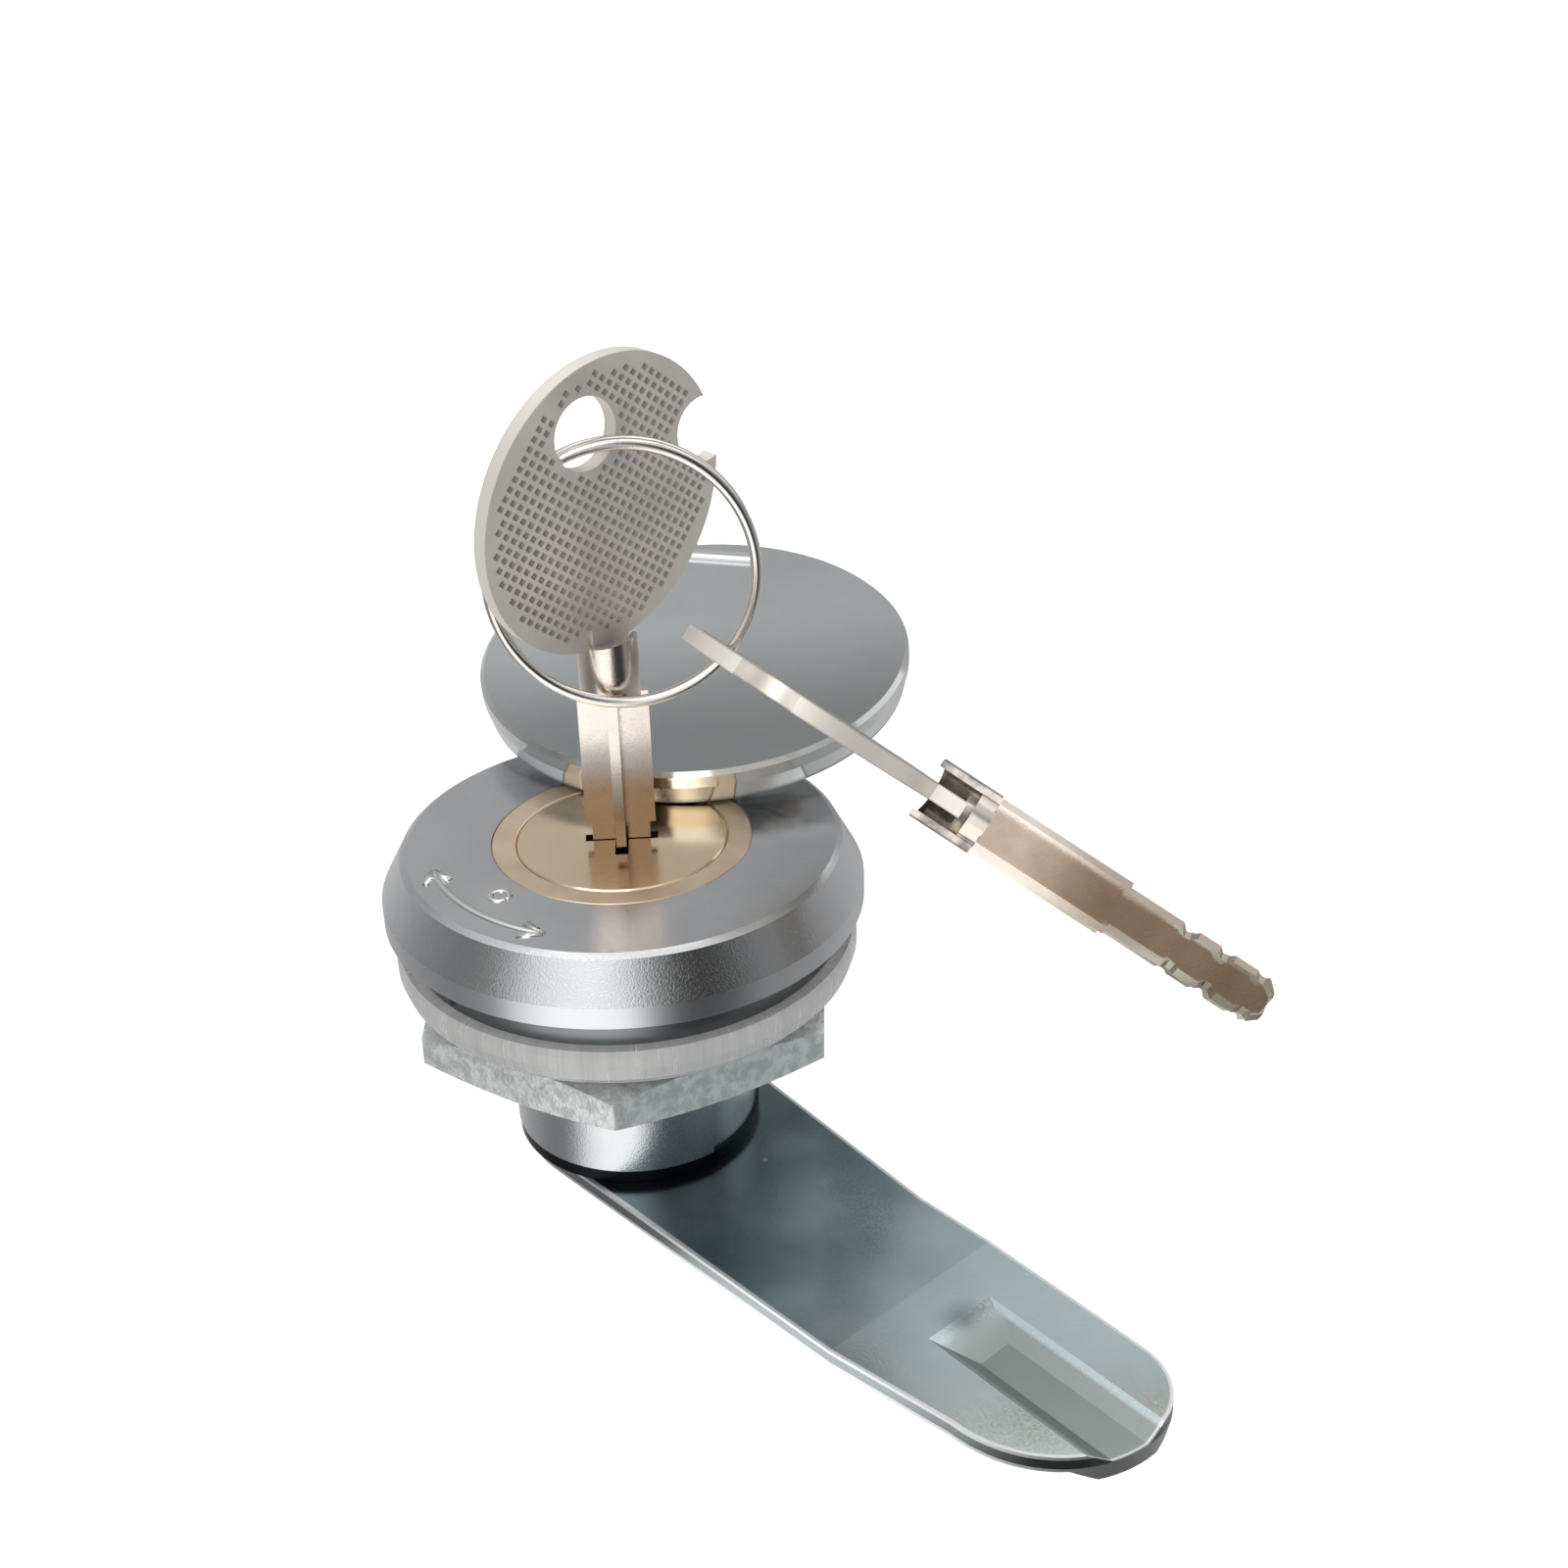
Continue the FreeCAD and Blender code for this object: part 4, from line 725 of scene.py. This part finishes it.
class Finishes:
    """Every material of the lock, built once."""

    def __init__(self, effects: Effects) -> None:
        """Builds the materials.

        Args:
            effects: the shared shader groups.
        """
        self.effects = effects
        self.head = HeadChrome("satin_chrome", (0.70, 0.71, 0.72), (0.62, 0.63, 0.645),
                               grain=0.00014, low=0.12, high=0.27,
                               bump=0.000022).material(effects)
        self.mark = self.plain("bright_mark", (0.86, 0.87, 0.87), (0.80, 0.81, 0.81),
                               low=0.10, high=0.16, bump=0.000002)
        self.polished = self.plain("polished_chrome", (0.86, 0.87, 0.86), (0.78, 0.79, 0.79),
                                   low=0.05, high=0.10, bump=0.000001)
        self.ring = self.plain("matt_brass", (0.88, 0.72, 0.55), (0.76, 0.60, 0.43),
                               cloud=0.004, low=0.34, high=0.46, bump=0.000006)
        self.plug = self.plain("satin_brass", (1.0, 0.84, 0.60), (0.96, 0.76, 0.53),
                               cloud=0.006, contrast=0.35, low=0.13, high=0.22, bump=0.000003)
        self.gasket = Milky("milky_gasket", (0.985, 0.99, 0.975)).material(effects)
        self.nut = self.plain("zinc_nut", (0.92, 0.95, 0.94), (0.66, 0.70, 0.70), cloud=0.0009,
                              contrast=0.9, grain=0.00026, low=0.32, high=0.52, metal=0.7,
                              bump=0.00007)
        self.black = self.plain("black_washer", (0.028, 0.036, 0.04), (0.012, 0.014, 0.016),
                                low=0.3, high=0.45)
        self.cam = CamZinc("blue_zinc", (0.48, 0.60, 0.63), (0.28, 0.39, 0.44), cloud=0.011,
                           contrast=0.6, grain=0.00022, low=0.16, high=0.26, bump=0.000005,
                           specks=0.03).material(effects)
        self.wire = self.plain("ring_wire", (0.82, 0.80, 0.77), (0.72, 0.69, 0.65),
                               low=0.08, high=0.16, bump=0.000003)
        self.pips = self.plain("knurl_pips", (0.60, 0.57, 0.53), (0.52, 0.48, 0.45),
                               low=0.34, high=0.46, bump=0.000003)
        self.steel = self.plain("plain_steel", (0.60, 0.60, 0.60), (0.52, 0.52, 0.53),
                                low=0.22, high=0.36)
        self.brass_pin = self.plain("pin_brass", (0.80, 0.64, 0.36), (0.70, 0.54, 0.28),
                                    low=0.22, high=0.34)

    def plain(self, name: str, light: Colour, dark: Colour, **looks: float
              ) -> bpy.types.Material:
        """A metal with nothing of its own."""
        return Metal(name, light, dark, **looks).material(self.effects)

    def blade(self, name: str, origin: Point, axes: Axes,
              shade: Colour) -> bpy.types.Material:
        """Bright nickel of one blade, with painted shade towards its lower end."""
        return BladeNickel(name, (0.80, 0.73, 0.66), (0.70, 0.62, 0.55), cloud=0.004, low=0.10,
                           high=0.20, bump=0.000005, origin=origin, axes=axes,
                           shade=shade).material(self.effects)

    def collar(self, name: str, inner: Colour) -> bpy.types.Material:
        """Bright nickel of one collar, clouded with a darker colour, which on the spare is painted
        shade of its hollow.
        """
        return self.plain(name, (0.80, 0.73, 0.66), inner, cloud=0.0022, contrast=0.7,
                          low=0.10, high=0.22, bump=0.000006)

    def bow(self, name: str, origin: Point, axes: Axes) -> bpy.types.Material:
        """Matt nickel of one bow, with its bright sheared edge."""
        return TwoTone(name, (0.74, 0.70, 0.65), (0.62, 0.59, 0.55), cloud=0.007, metal=0.55,
                       grain=0.00020, low=0.36, high=0.50, bump=0.000008, origin=origin,
                       axes=axes, edge=(0.98, 0.93, 0.85)).material(self.effects)

    def cover(self, origin: Point, axes: Axes) -> bpy.types.Material:
        """Satin chrome of the cover."""
        return CoverChrome("cover_chrome", (0.69, 0.72, 0.725), (0.60, 0.63, 0.64),
                           cloud=0.010, contrast=0.3, grain=0.0003, low=0.20, high=0.26,
                           bump=0.000003, origin=origin, axes=axes).material(self.effects)


def dress(finish: bpy.types.Material, *nodes: str) -> None:
    """Gives nodes of the model their finish.

    Args:
        finish: the material.
        nodes: names of the nodes.
    """
    for node in nodes:
        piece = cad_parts[node]
        piece.data.materials.clear()
        piece.data.materials.append(finish)
        LOG.info("%s wears %s", node, finish.name)


def framed(place: Vector, columns: tuple[Vector, ...]) -> Matrix:
    """A matrix from a place in metres and three directions."""
    matrix = Matrix.Identity(4)
    for k, column in enumerate(columns):
        for row in range(3):
            matrix[row][k] = column[row]
    return Matrix.Translation(place) @ matrix


@dataclass
class Head:
    """Housing, gasket, nut and cylinder sleeve, with thread and face mark.

    Attributes:
        face_level: height of the front face.
        mark_radius: middle of the mark's arc.
        mark_angle: direction of the mark's middle, in degrees.
        mark_span: angle that the arc covers.
        thread_radius: outside of the thread.
        thread_length: thread below the panel seat.
        thread_pitch: distance between thread crests.
    """

    face_level: float = 10.7
    mark_radius: float = 14.3
    mark_angle: float = -88.0
    mark_span: float = 52.0
    thread_radius: float = 10.95
    thread_length: float = 5.2
    thread_pitch: float = 1.0

    def build(self, finishes: Finishes) -> None:
        """Dresses the nodes and adds thread and mark.

        Args:
            finishes: the lock's materials.
        """
        dress(finishes.head, "housing")
        dress(finishes.gasket, "gasket")
        dress(finishes.nut, "hex_nut")
        dress(finishes.ring, "cylinder_sleeve")
        dress(finishes.steel, "sleeve_lock_pin", "pin_springs")
        dress(finishes.brass_pin, "driver_pins")
        self.thread(finishes)
        self.mark(finishes)

    def thread(self, finishes: Finishes) -> None:
        """Grows the crests of the barrel's thread along a spiral.

        Args:
            finishes: the lock's materials.
        """
        grown = Grown("barrel_thread", {
            "Radius": self.thread_radius * MM, "Pitch": self.thread_pitch * MM,
            "Length": self.thread_length * MM, "Crest": 0.00008}, finishes.head)
        radius, length = grown.size("Radius"), grown.size("Length")
        spiral = grown.made("GeometryNodeCurveSpiral", Resolution=64, Start_Radius=radius,
                            End_Radius=radius, Height=length,
                            Rotations=grown.math("DIVIDE", length, grown.size("Pitch")))
        profile = grown.made("GeometryNodeCurvePrimitiveCircle", Resolution=4,
                             Radius=grown.size("Crest"))
        grown.close(grown.made("GeometryNodeCurveToMesh", Curve=spiral, Profile_Curve=profile,
                               Fill_Caps=True))
        piece = grown.mesh(Matrix.Translation((0, 0, -self.thread_length * MM)), Body.LOCK)

    def mark(self, finishes: Finishes) -> None:
        """Raises an arc with an arrowhead at each end and a small ring above it.

        Args:
            finishes: the lock's materials.
        """
        shape = bmesh.new()
        top = self.face_level * MM
        middle = math.radians(self.mark_angle)
        half = math.radians(self.mark_span) / 2
        steps = 40
        path = [(self.mark_radius * MM, middle - half + 2 * half * k / steps)
                for k in range(steps + 1)]
        self.ridge(shape, [(r * math.cos(a), r * math.sin(a)) for r, a in path], 0.0003, top)
        for sign in (-1, 1):
            end = middle + sign * half
            for lean in (-1, 1):
                tip = Vector((math.cos(end), math.sin(end))) * self.mark_radius * MM
                back = Vector((math.sin(end), -math.cos(end))) * sign * 0.0017
                side = Vector((math.cos(end), math.sin(end))) * lean * 0.0009
                self.ridge(shape, [tuple(tip), tuple(tip + back + side)], 0.0003, top)
        centre = Vector((math.cos(middle), math.sin(middle))) * (self.mark_radius - 2.6) * MM
        circle = [tuple(centre + Vector((math.cos(t), math.sin(t))) * 0.0007)
                  for t in (2 * math.pi * k / 24 for k in range(25))]
        self.ridge(shape, circle, 0.00024, top)
        mesh = bpy.data.meshes.new("turn_mark")
        bmesh.ops.remove_doubles(shape, verts=shape.verts, dist=1e-7)
        bmesh.ops.recalc_face_normals(shape, faces=shape.faces)
        shape.to_mesh(mesh)
        shape.free()
        for face in mesh.polygons:
            face.use_smooth = True
        mesh.materials.append(finishes.mark)
        piece = put("turn_mark", mesh)
        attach(piece, Body.LOCK.value)
        LOG.info("turn_mark: %d faces", len(mesh.polygons))

    @staticmethod
    def ridge(shape: bmesh.types.BMesh, path: list[tuple[float, float]], half: float,
              top: float) -> None:
        """A rounded raised line along a path on the face.

        Args:
            shape: the mesh that it joins.
            path: points in X and Y.
            half: half its width.
            top: height of the face.
        """
        rows = []
        points = [Vector(p) for p in path]
        for k, point in enumerate(points):
            before = points[max(k - 1, 0)]
            after = points[min(k + 1, len(points) - 1)]
            way = (after - before).normalized()
            side = Vector((-way.y, way.x))
            row = []
            for step in range(7):
                turn = math.pi * step / 6
                spot = point + side * half * math.cos(turn)
                row.append(shape.verts.new((spot.x, spot.y, top + 0.6 * half * math.sin(turn)
                                            - 0.00001)))
            rows.append(row)
        for first, second in zip(rows, rows[1:]):
            for k in range(6):
                shape.faces.new((first[k], first[k + 1], second[k + 1], second[k]))
            shape.faces.new((first[6], first[0], second[0], second[6]))
        shape.faces.new(rows[0])
        shape.faces.new(list(reversed(rows[-1])))


@dataclass
class PlugAndCam:
    """Plug, tumblers, stop washer, cam and what clamps it."""

    def build(self, finishes: Finishes) -> None:
        """Dresses the nodes.

        Args:
            finishes: the lock's materials.
        """
        dress(finishes.plug, "plug")
        dress(finishes.brass_pin, "key_pins")
        dress(finishes.black, "stop_washer")
        dress(finishes.cam, "cam")
        dress(finishes.nut, "cam_washer", "cam_screw")


@dataclass
class Key:
    """One key: knurled bow, collar and blade.

    Attributes:
        prefix: key or spare.
        body: the body that it belongs to.
        origin: origin of the bow's own frame, in millimetres.
        axes: across, thickness and up directions of the bow.
        bow_level: bow's centre above the frame's origin.
        long: half the bow's long axis.
        short: half its short axis.
        lean: lean of the long axis, in degrees.
        hole: hole's centre and radius in the bow's plane.
        bite: bite's centre and radius.
        collar: half width and top of the collar.
        shade: the painted shade that the blade's lower end multiplies its colour by.
        inner: darker colour of the collar's clouds; near black on the spare, as painted shade of
            its hollow.
        thickness: the bow plate.
        pitch: distance between knurl pips.
    """

    prefix: str
    body: Body
    origin: Point
    axes: Axes
    shade: Colour = (0.34, 0.28, 0.24)
    inner: Colour = (0.70, 0.62, 0.55)
    bow_level: float = 37.5
    long: float = 11.05
    short: float = 9.65
    lean: float = 40.0
    hole: Point = (-1.25, 42.95, 2.65)
    bite: Point = (9.2, 40.7, 2.45)
    collar: tuple[float, float] = (2.4, 28.4)
    thickness: float = 1.3
    pitch: float = 0.74

    def build(self, finishes: Finishes) -> None:
        """Dresses the key and grows its knurling.

        Args:
            finishes: the lock's materials.
        """
        metres = tuple(c * MM for c in self.origin)
        key = self.prefix
        dress(finishes.bow(key + "_nickel", metres, self.axes), key + "_bow")
        dress(finishes.collar(key + "_collar_nickel", self.inner), key + "_collar")
        dress(finishes.blade(key + "_blade_nickel", metres, self.axes, self.shade),
              key + "_blade")
        self.knurl(finishes)

    def place(self) -> Matrix:
        """The bow's own frame as a matrix."""
        return framed(Vector(self.origin) * MM, tuple(Vector(axis) for axis in self.axes))

    def knurl(self, finishes: Finishes) -> None:
        """Grows small square pips in slanting rows on both faces of the bow.

        Args:
            finishes: the lock's materials.
        """
        grown = Grown(self.prefix + "_knurl", {
            "Pitch": self.pitch * MM, "Pip Width": 0.00044, "Pip Height": 0.00003,
            "Half Long": (self.long - 0.9) * MM, "Half Short": (self.short - 0.9) * MM,
            "Lean": math.radians(self.lean), "Bow Level": self.bow_level * MM,
            "Hole X": self.hole[0] * MM, "Hole Z": self.hole[1] * MM,
            "Hole Radius": (self.hole[2] + 0.45) * MM,
            "Bite X": self.bite[0] * MM, "Bite Z": self.bite[1] * MM,
            "Bite Radius": (self.bite[2] + 0.45) * MM,
            "Collar Half": (self.collar[0] + 0.3) * MM, "Collar Top": self.collar[1] * MM,
            "Half Thickness": self.thickness / 2 * MM}, finishes.pips)
        maths, size = grown.math, grown.size
        span = maths("MULTIPLY", size("Pitch"), 32.0)
        grid = grown.made("GeometryNodeMeshGrid", Size_X=span, Size_Y=span, Vertices_X=33,
                          Vertices_Y=33)
        turn = grown.made("GeometryNodeTransform", Geometry=grid,
                          Translation=grown.joined(0.0, 0.0, size("Bow Level")),
                          Rotation=(math.radians(90), math.radians(38), 0))
        x, _, z = grown.parts(grown.made("GeometryNodeInputPosition"))
        rise = maths("SUBTRACT", z, size("Bow Level"))
        up_x, up_z = maths("SINE", size("Lean")), maths("COSINE", size("Lean"))
        along = maths("ADD", maths("MULTIPLY", x, up_x), maths("MULTIPLY", rise, up_z))
        across = maths("SUBTRACT", maths("MULTIPLY", x, up_z), maths("MULTIPLY", rise, up_x))
        oval = maths("ADD", *(maths("POWER", maths("DIVIDE", way, size(half)), 2.0)
                              for way, half in ((along, "Half Long"), (across, "Half Short"))))
        inside = maths("LESS_THAN", oval, 1.0)
        for label in ("Hole", "Bite"):
            aside = maths("SUBTRACT", x, size(label + " X"))
            above = maths("SUBTRACT", z, size(label + " Z"))
            apart = maths("SQRT", maths("ADD", maths("MULTIPLY", aside, aside),
                                        maths("MULTIPLY", above, above)))
            inside = maths("MULTIPLY", inside, maths(
                "GREATER_THAN", apart, size(label + " Radius")))
        wide = maths("GREATER_THAN", maths("ABSOLUTE", x), size("Collar Half"))
        high = maths("GREATER_THAN", z, size("Collar Top"))
        inside = maths("MULTIPLY", inside, maths("MAXIMUM", wide, high))
        chosen = maths("GREATER_THAN", inside, 0.5)
        width = size("Pip Width")
        pip = grown.made("GeometryNodeMeshCone", Vertices=4, Depth=size("Pip Height"),
                         Radius_Top=maths("MULTIPLY", width, 0.35),
                         Radius_Bottom=maths("MULTIPLY", width, 0.7))
        join = grown.add("GeometryNodeJoinGeometry")
        for sign in (1.0, -1.0):
            level = maths("MULTIPLY", size("Half Thickness"), sign)
            shift = grown.made("GeometryNodeTransform", Geometry=turn,
                               Translation=grown.joined(0.0, level, 0.0))
            grown.fill(join, grown.made(
                "GeometryNodeInstanceOnPoints", Points=shift, Selection=chosen, Instance=pip,
                Rotation=(math.radians(-90 * sign), 0, 0)))
        grown.close(join.outputs[0])
        piece = grown.mesh(self.place(), self.body)


@dataclass
class Cover:
    """Dust cover with its finger catch, cross pin and spindle.

    Attributes:
        origin: the cross pin's middle, in millimetres.
        axes: the cover's out, across and up directions.
        centre: cover's centre along its out direction.
    """

    origin: Point = (-6.295334, 9.263302, 12.805944)
    axes: Axes = (
        (-0.557275, 0.820005, 0.130526), (-0.827081, -0.562083, 0.0),
        (0.073367, -0.107956, 0.991445))
    centre: float = 11.2

    def build(self, finishes: Finishes) -> None:
        """Dresses the cover and its spindle.

        Args:
            finishes: the lock's materials.
        """
        middle = Vector(self.origin) + Vector(self.axes[0]) * self.centre
        dress(finishes.cover(tuple(middle * MM), self.axes), "dust_cover")
        dress(finishes.mark, "finger_catch")
        dress(finishes.steel, "cover_pin", "cover_spindle", "spindle_clip", "spindle_spring")
        dress(finishes.polished, "hinge_block")


# Studio


@dataclass
class Studio:
    """Floor, surroundings, lamps and camera.

    Attributes:
        floor_level: height of the floor, in metres.
        place: the camera's place, in millimetres.
        right: its right direction.
        up: its up direction.
        ahead: the way it looks.
        focal: focal length in the photograph's pixels.
        principal: principal point in the photograph's pixels.
    """

    AROUND = ((-180, 0.45), (-165, 0.62), (-140, 0.60), (-100, 0.38), (-75, 0.24),
              (-52, 0.30), (-44, 1.0), (-26, 1.45), (4, 1.40), (14, 0.35), (24, 0.06),
              (48, 0.05), (62, 0.30), (90, 0.34), (125, 0.55), (150, 0.50), (166, 0.34),
              (180, 0.45))

    floor_level: float = -0.032
    place: Point = (117.85277, -89.86401, 95.02191)
    right: Point = (0.6939156, 0.7199138, -0.0143252)
    up: Point = (-0.3353508, 0.3407176, 0.8783230)
    ahead: Point = (-0.6371978, 0.6046781, -0.4778529)
    focal: float = 2300.16
    principal: tuple[float, float] = (849.93, 800.21)
    lamps: tuple[tuple[str, float, float, float, float, float], ...] = (
        ("key_lamp", -25.0, 52.0, 0.42, 0.30, 0.35),
        ("fill_lamp", 120.0, 40.0, 0.42, 0.34, 0.15),
        ("top_lamp", 180.0, 80.0, 0.50, 0.40, 0.28))

    def build(self, effects: Effects) -> None:
        """Sets everything up.

        Args:
            effects: the shared shader groups.
        """
        self.floor(effects)
        self.world(effects)
        for name, azimuth, elevation, distance, width, power in self.lamps:
            self.lamp(name, azimuth, elevation, distance, width, power)
        self.camera()
        bpy.context.scene.view_settings.view_transform = "Standard"

    def floor(self, effects: Effects) -> None:
        """A wide pale floor that keeps the lock's shadow."""
        shape = bmesh.new()
        bmesh.ops.create_grid(shape, x_segments=1, y_segments=1, size=6.0)
        mesh = bpy.data.meshes.new("studio_floor")
        shape.to_mesh(mesh)
        shape.free()
        mesh.transform(Matrix.Translation((0, 0, self.floor_level)))
        floor = put("studio_floor", mesh)
        made, sheet, where = opened("pale_floor")
        paths = sheet.add("ShaderNodeLightPath")
        paint = sheet.made("ShaderNodeBsdfDiffuse", Color=(0.80, 0.80, 0.80, 1))
        glow = sheet.made("ShaderNodeEmission", Color=(1, 1, 1, 1), Strength=0.55)
        seen = sheet.made("ShaderNodeAddShader", paint, glow)
        mirrored = sheet.made("ShaderNodeEmission",
                              Strength=sheet.placed(effects.surround, Vector=where)[0])
        first = sheet.chosen(sheet.direct(paths), paint, seen)
        second = sheet.chosen(paths.outputs["Is Glossy Ray"], first, mirrored)
        sheet.fill(sheet.add("ShaderNodeOutputMaterial"), Surface=second)
        mesh.materials.append(made)

    def world(self, effects: Effects) -> None:
        """White to the eye, a soft studio to metal."""
        world = bpy.data.worlds.new("studio")
        bpy.context.scene.world = world
        world.use_nodes = True
        world.node_tree.nodes.clear()
        sheet = Sheet(world.node_tree)
        where = sheet.add("ShaderNodeTexCoord").outputs["Generated"]
        paths = sheet.add("ShaderNodeLightPath")
        around = sheet.placed(effects.surround, Vector=where)[0]
        room = sheet.made("ShaderNodeBackground", Strength=sheet.blended(
            paths.outputs["Is Diffuse Ray"], around, 1.0))
        white = sheet.made("ShaderNodeBackground", Color=(1, 1, 1, 1), Strength=1.0)
        sheet.fill(sheet.add("ShaderNodeOutputWorld"), Surface=sheet.chosen(
            sheet.direct(paths), room, white))

    @staticmethod
    def lamp(name: str, azimuth: float, elevation: float, distance: float, width: float,
             power: float) -> None:
        """A soft square lamp aimed at the lock.

        Args:
            name: its name.
            azimuth: degrees from the camera's side, to the right.
            elevation: degrees above the floor.
            distance: metres from the lock.
            width: side of the square.
            power: watts.
        """
        data = bpy.data.lights.new(name, "AREA")
        data.shape = "SQUARE"
        data.size = width
        data.energy = power
        turn = math.radians(azimuth) - math.pi / 2 + PHOTO_TURN
        rise = math.radians(elevation)
        way = Vector((math.cos(turn) * math.cos(rise), math.sin(turn) * math.cos(rise),
                      math.sin(rise)))
        lamp = put(name, data)
        lamp.location = way * distance
        lamp.rotation_mode = "QUATERNION"
        lamp.rotation_quaternion = way.to_track_quat("Z", "Y")

    def camera(self) -> None:
        """The photograph's camera."""
        data = bpy.data.cameras.new("camera")
        data.sensor_width = 36.0
        data.lens = self.focal / 1600 * 36.0
        data.shift_x = (800 - self.principal[0]) / 1600
        data.shift_y = (self.principal[1] - 800) / 1600
        data.clip_start = 0.005
        data.clip_end = 30.0
        camera = put("camera", data)
        columns = (Vector(self.right), Vector(self.up), -Vector(self.ahead))
        camera.matrix_world = framed(Vector(self.place) * MM,
                                     tuple(column.normalized() for column in columns))
        bpy.context.scene.camera = camera


def main() -> None:
    """Builds the lock's sub-assemblies, then the studio."""
    logging.basicConfig(level=logging.INFO, format="%(name)s: %(message)s")
    effects = Effects()
    finishes = Finishes(effects)
    turn = math.radians(89.5)
    upright = ((math.cos(turn), math.sin(turn), 0.0), (-math.sin(turn), math.cos(turn), 0.0),
               (0.0, 0.0, 1.0))
    assemblies = (
        Head(),
        PlugAndCam(),
        Key("key", Body.KEY, (0.0, 0.0, 0.0), upright),
        Key("spare", Body.SPARE, (42.435141, 22.742421, 5.032832),
            ((0.631354, -0.628452, 0.454356), (0.118489, 0.657187, 0.744355),
             (-0.766389, -0.416115, 0.489382)),
            # The spare's blade gets lighter painted shade, and its near-black collar clouds are
            # painted shade of the hollow.
            shade=(0.68, 0.63, 0.58), inner=(0.20, 0.19, 0.18)),
        Cover(),
    )
    for assembly in assemblies:
        assembly.build(finishes)
        LOG.info("built %s", type(assembly).__name__)
    dress(finishes.wire, "key_ring")
    Studio().build(effects)


if __name__ == "__main__":
    main()
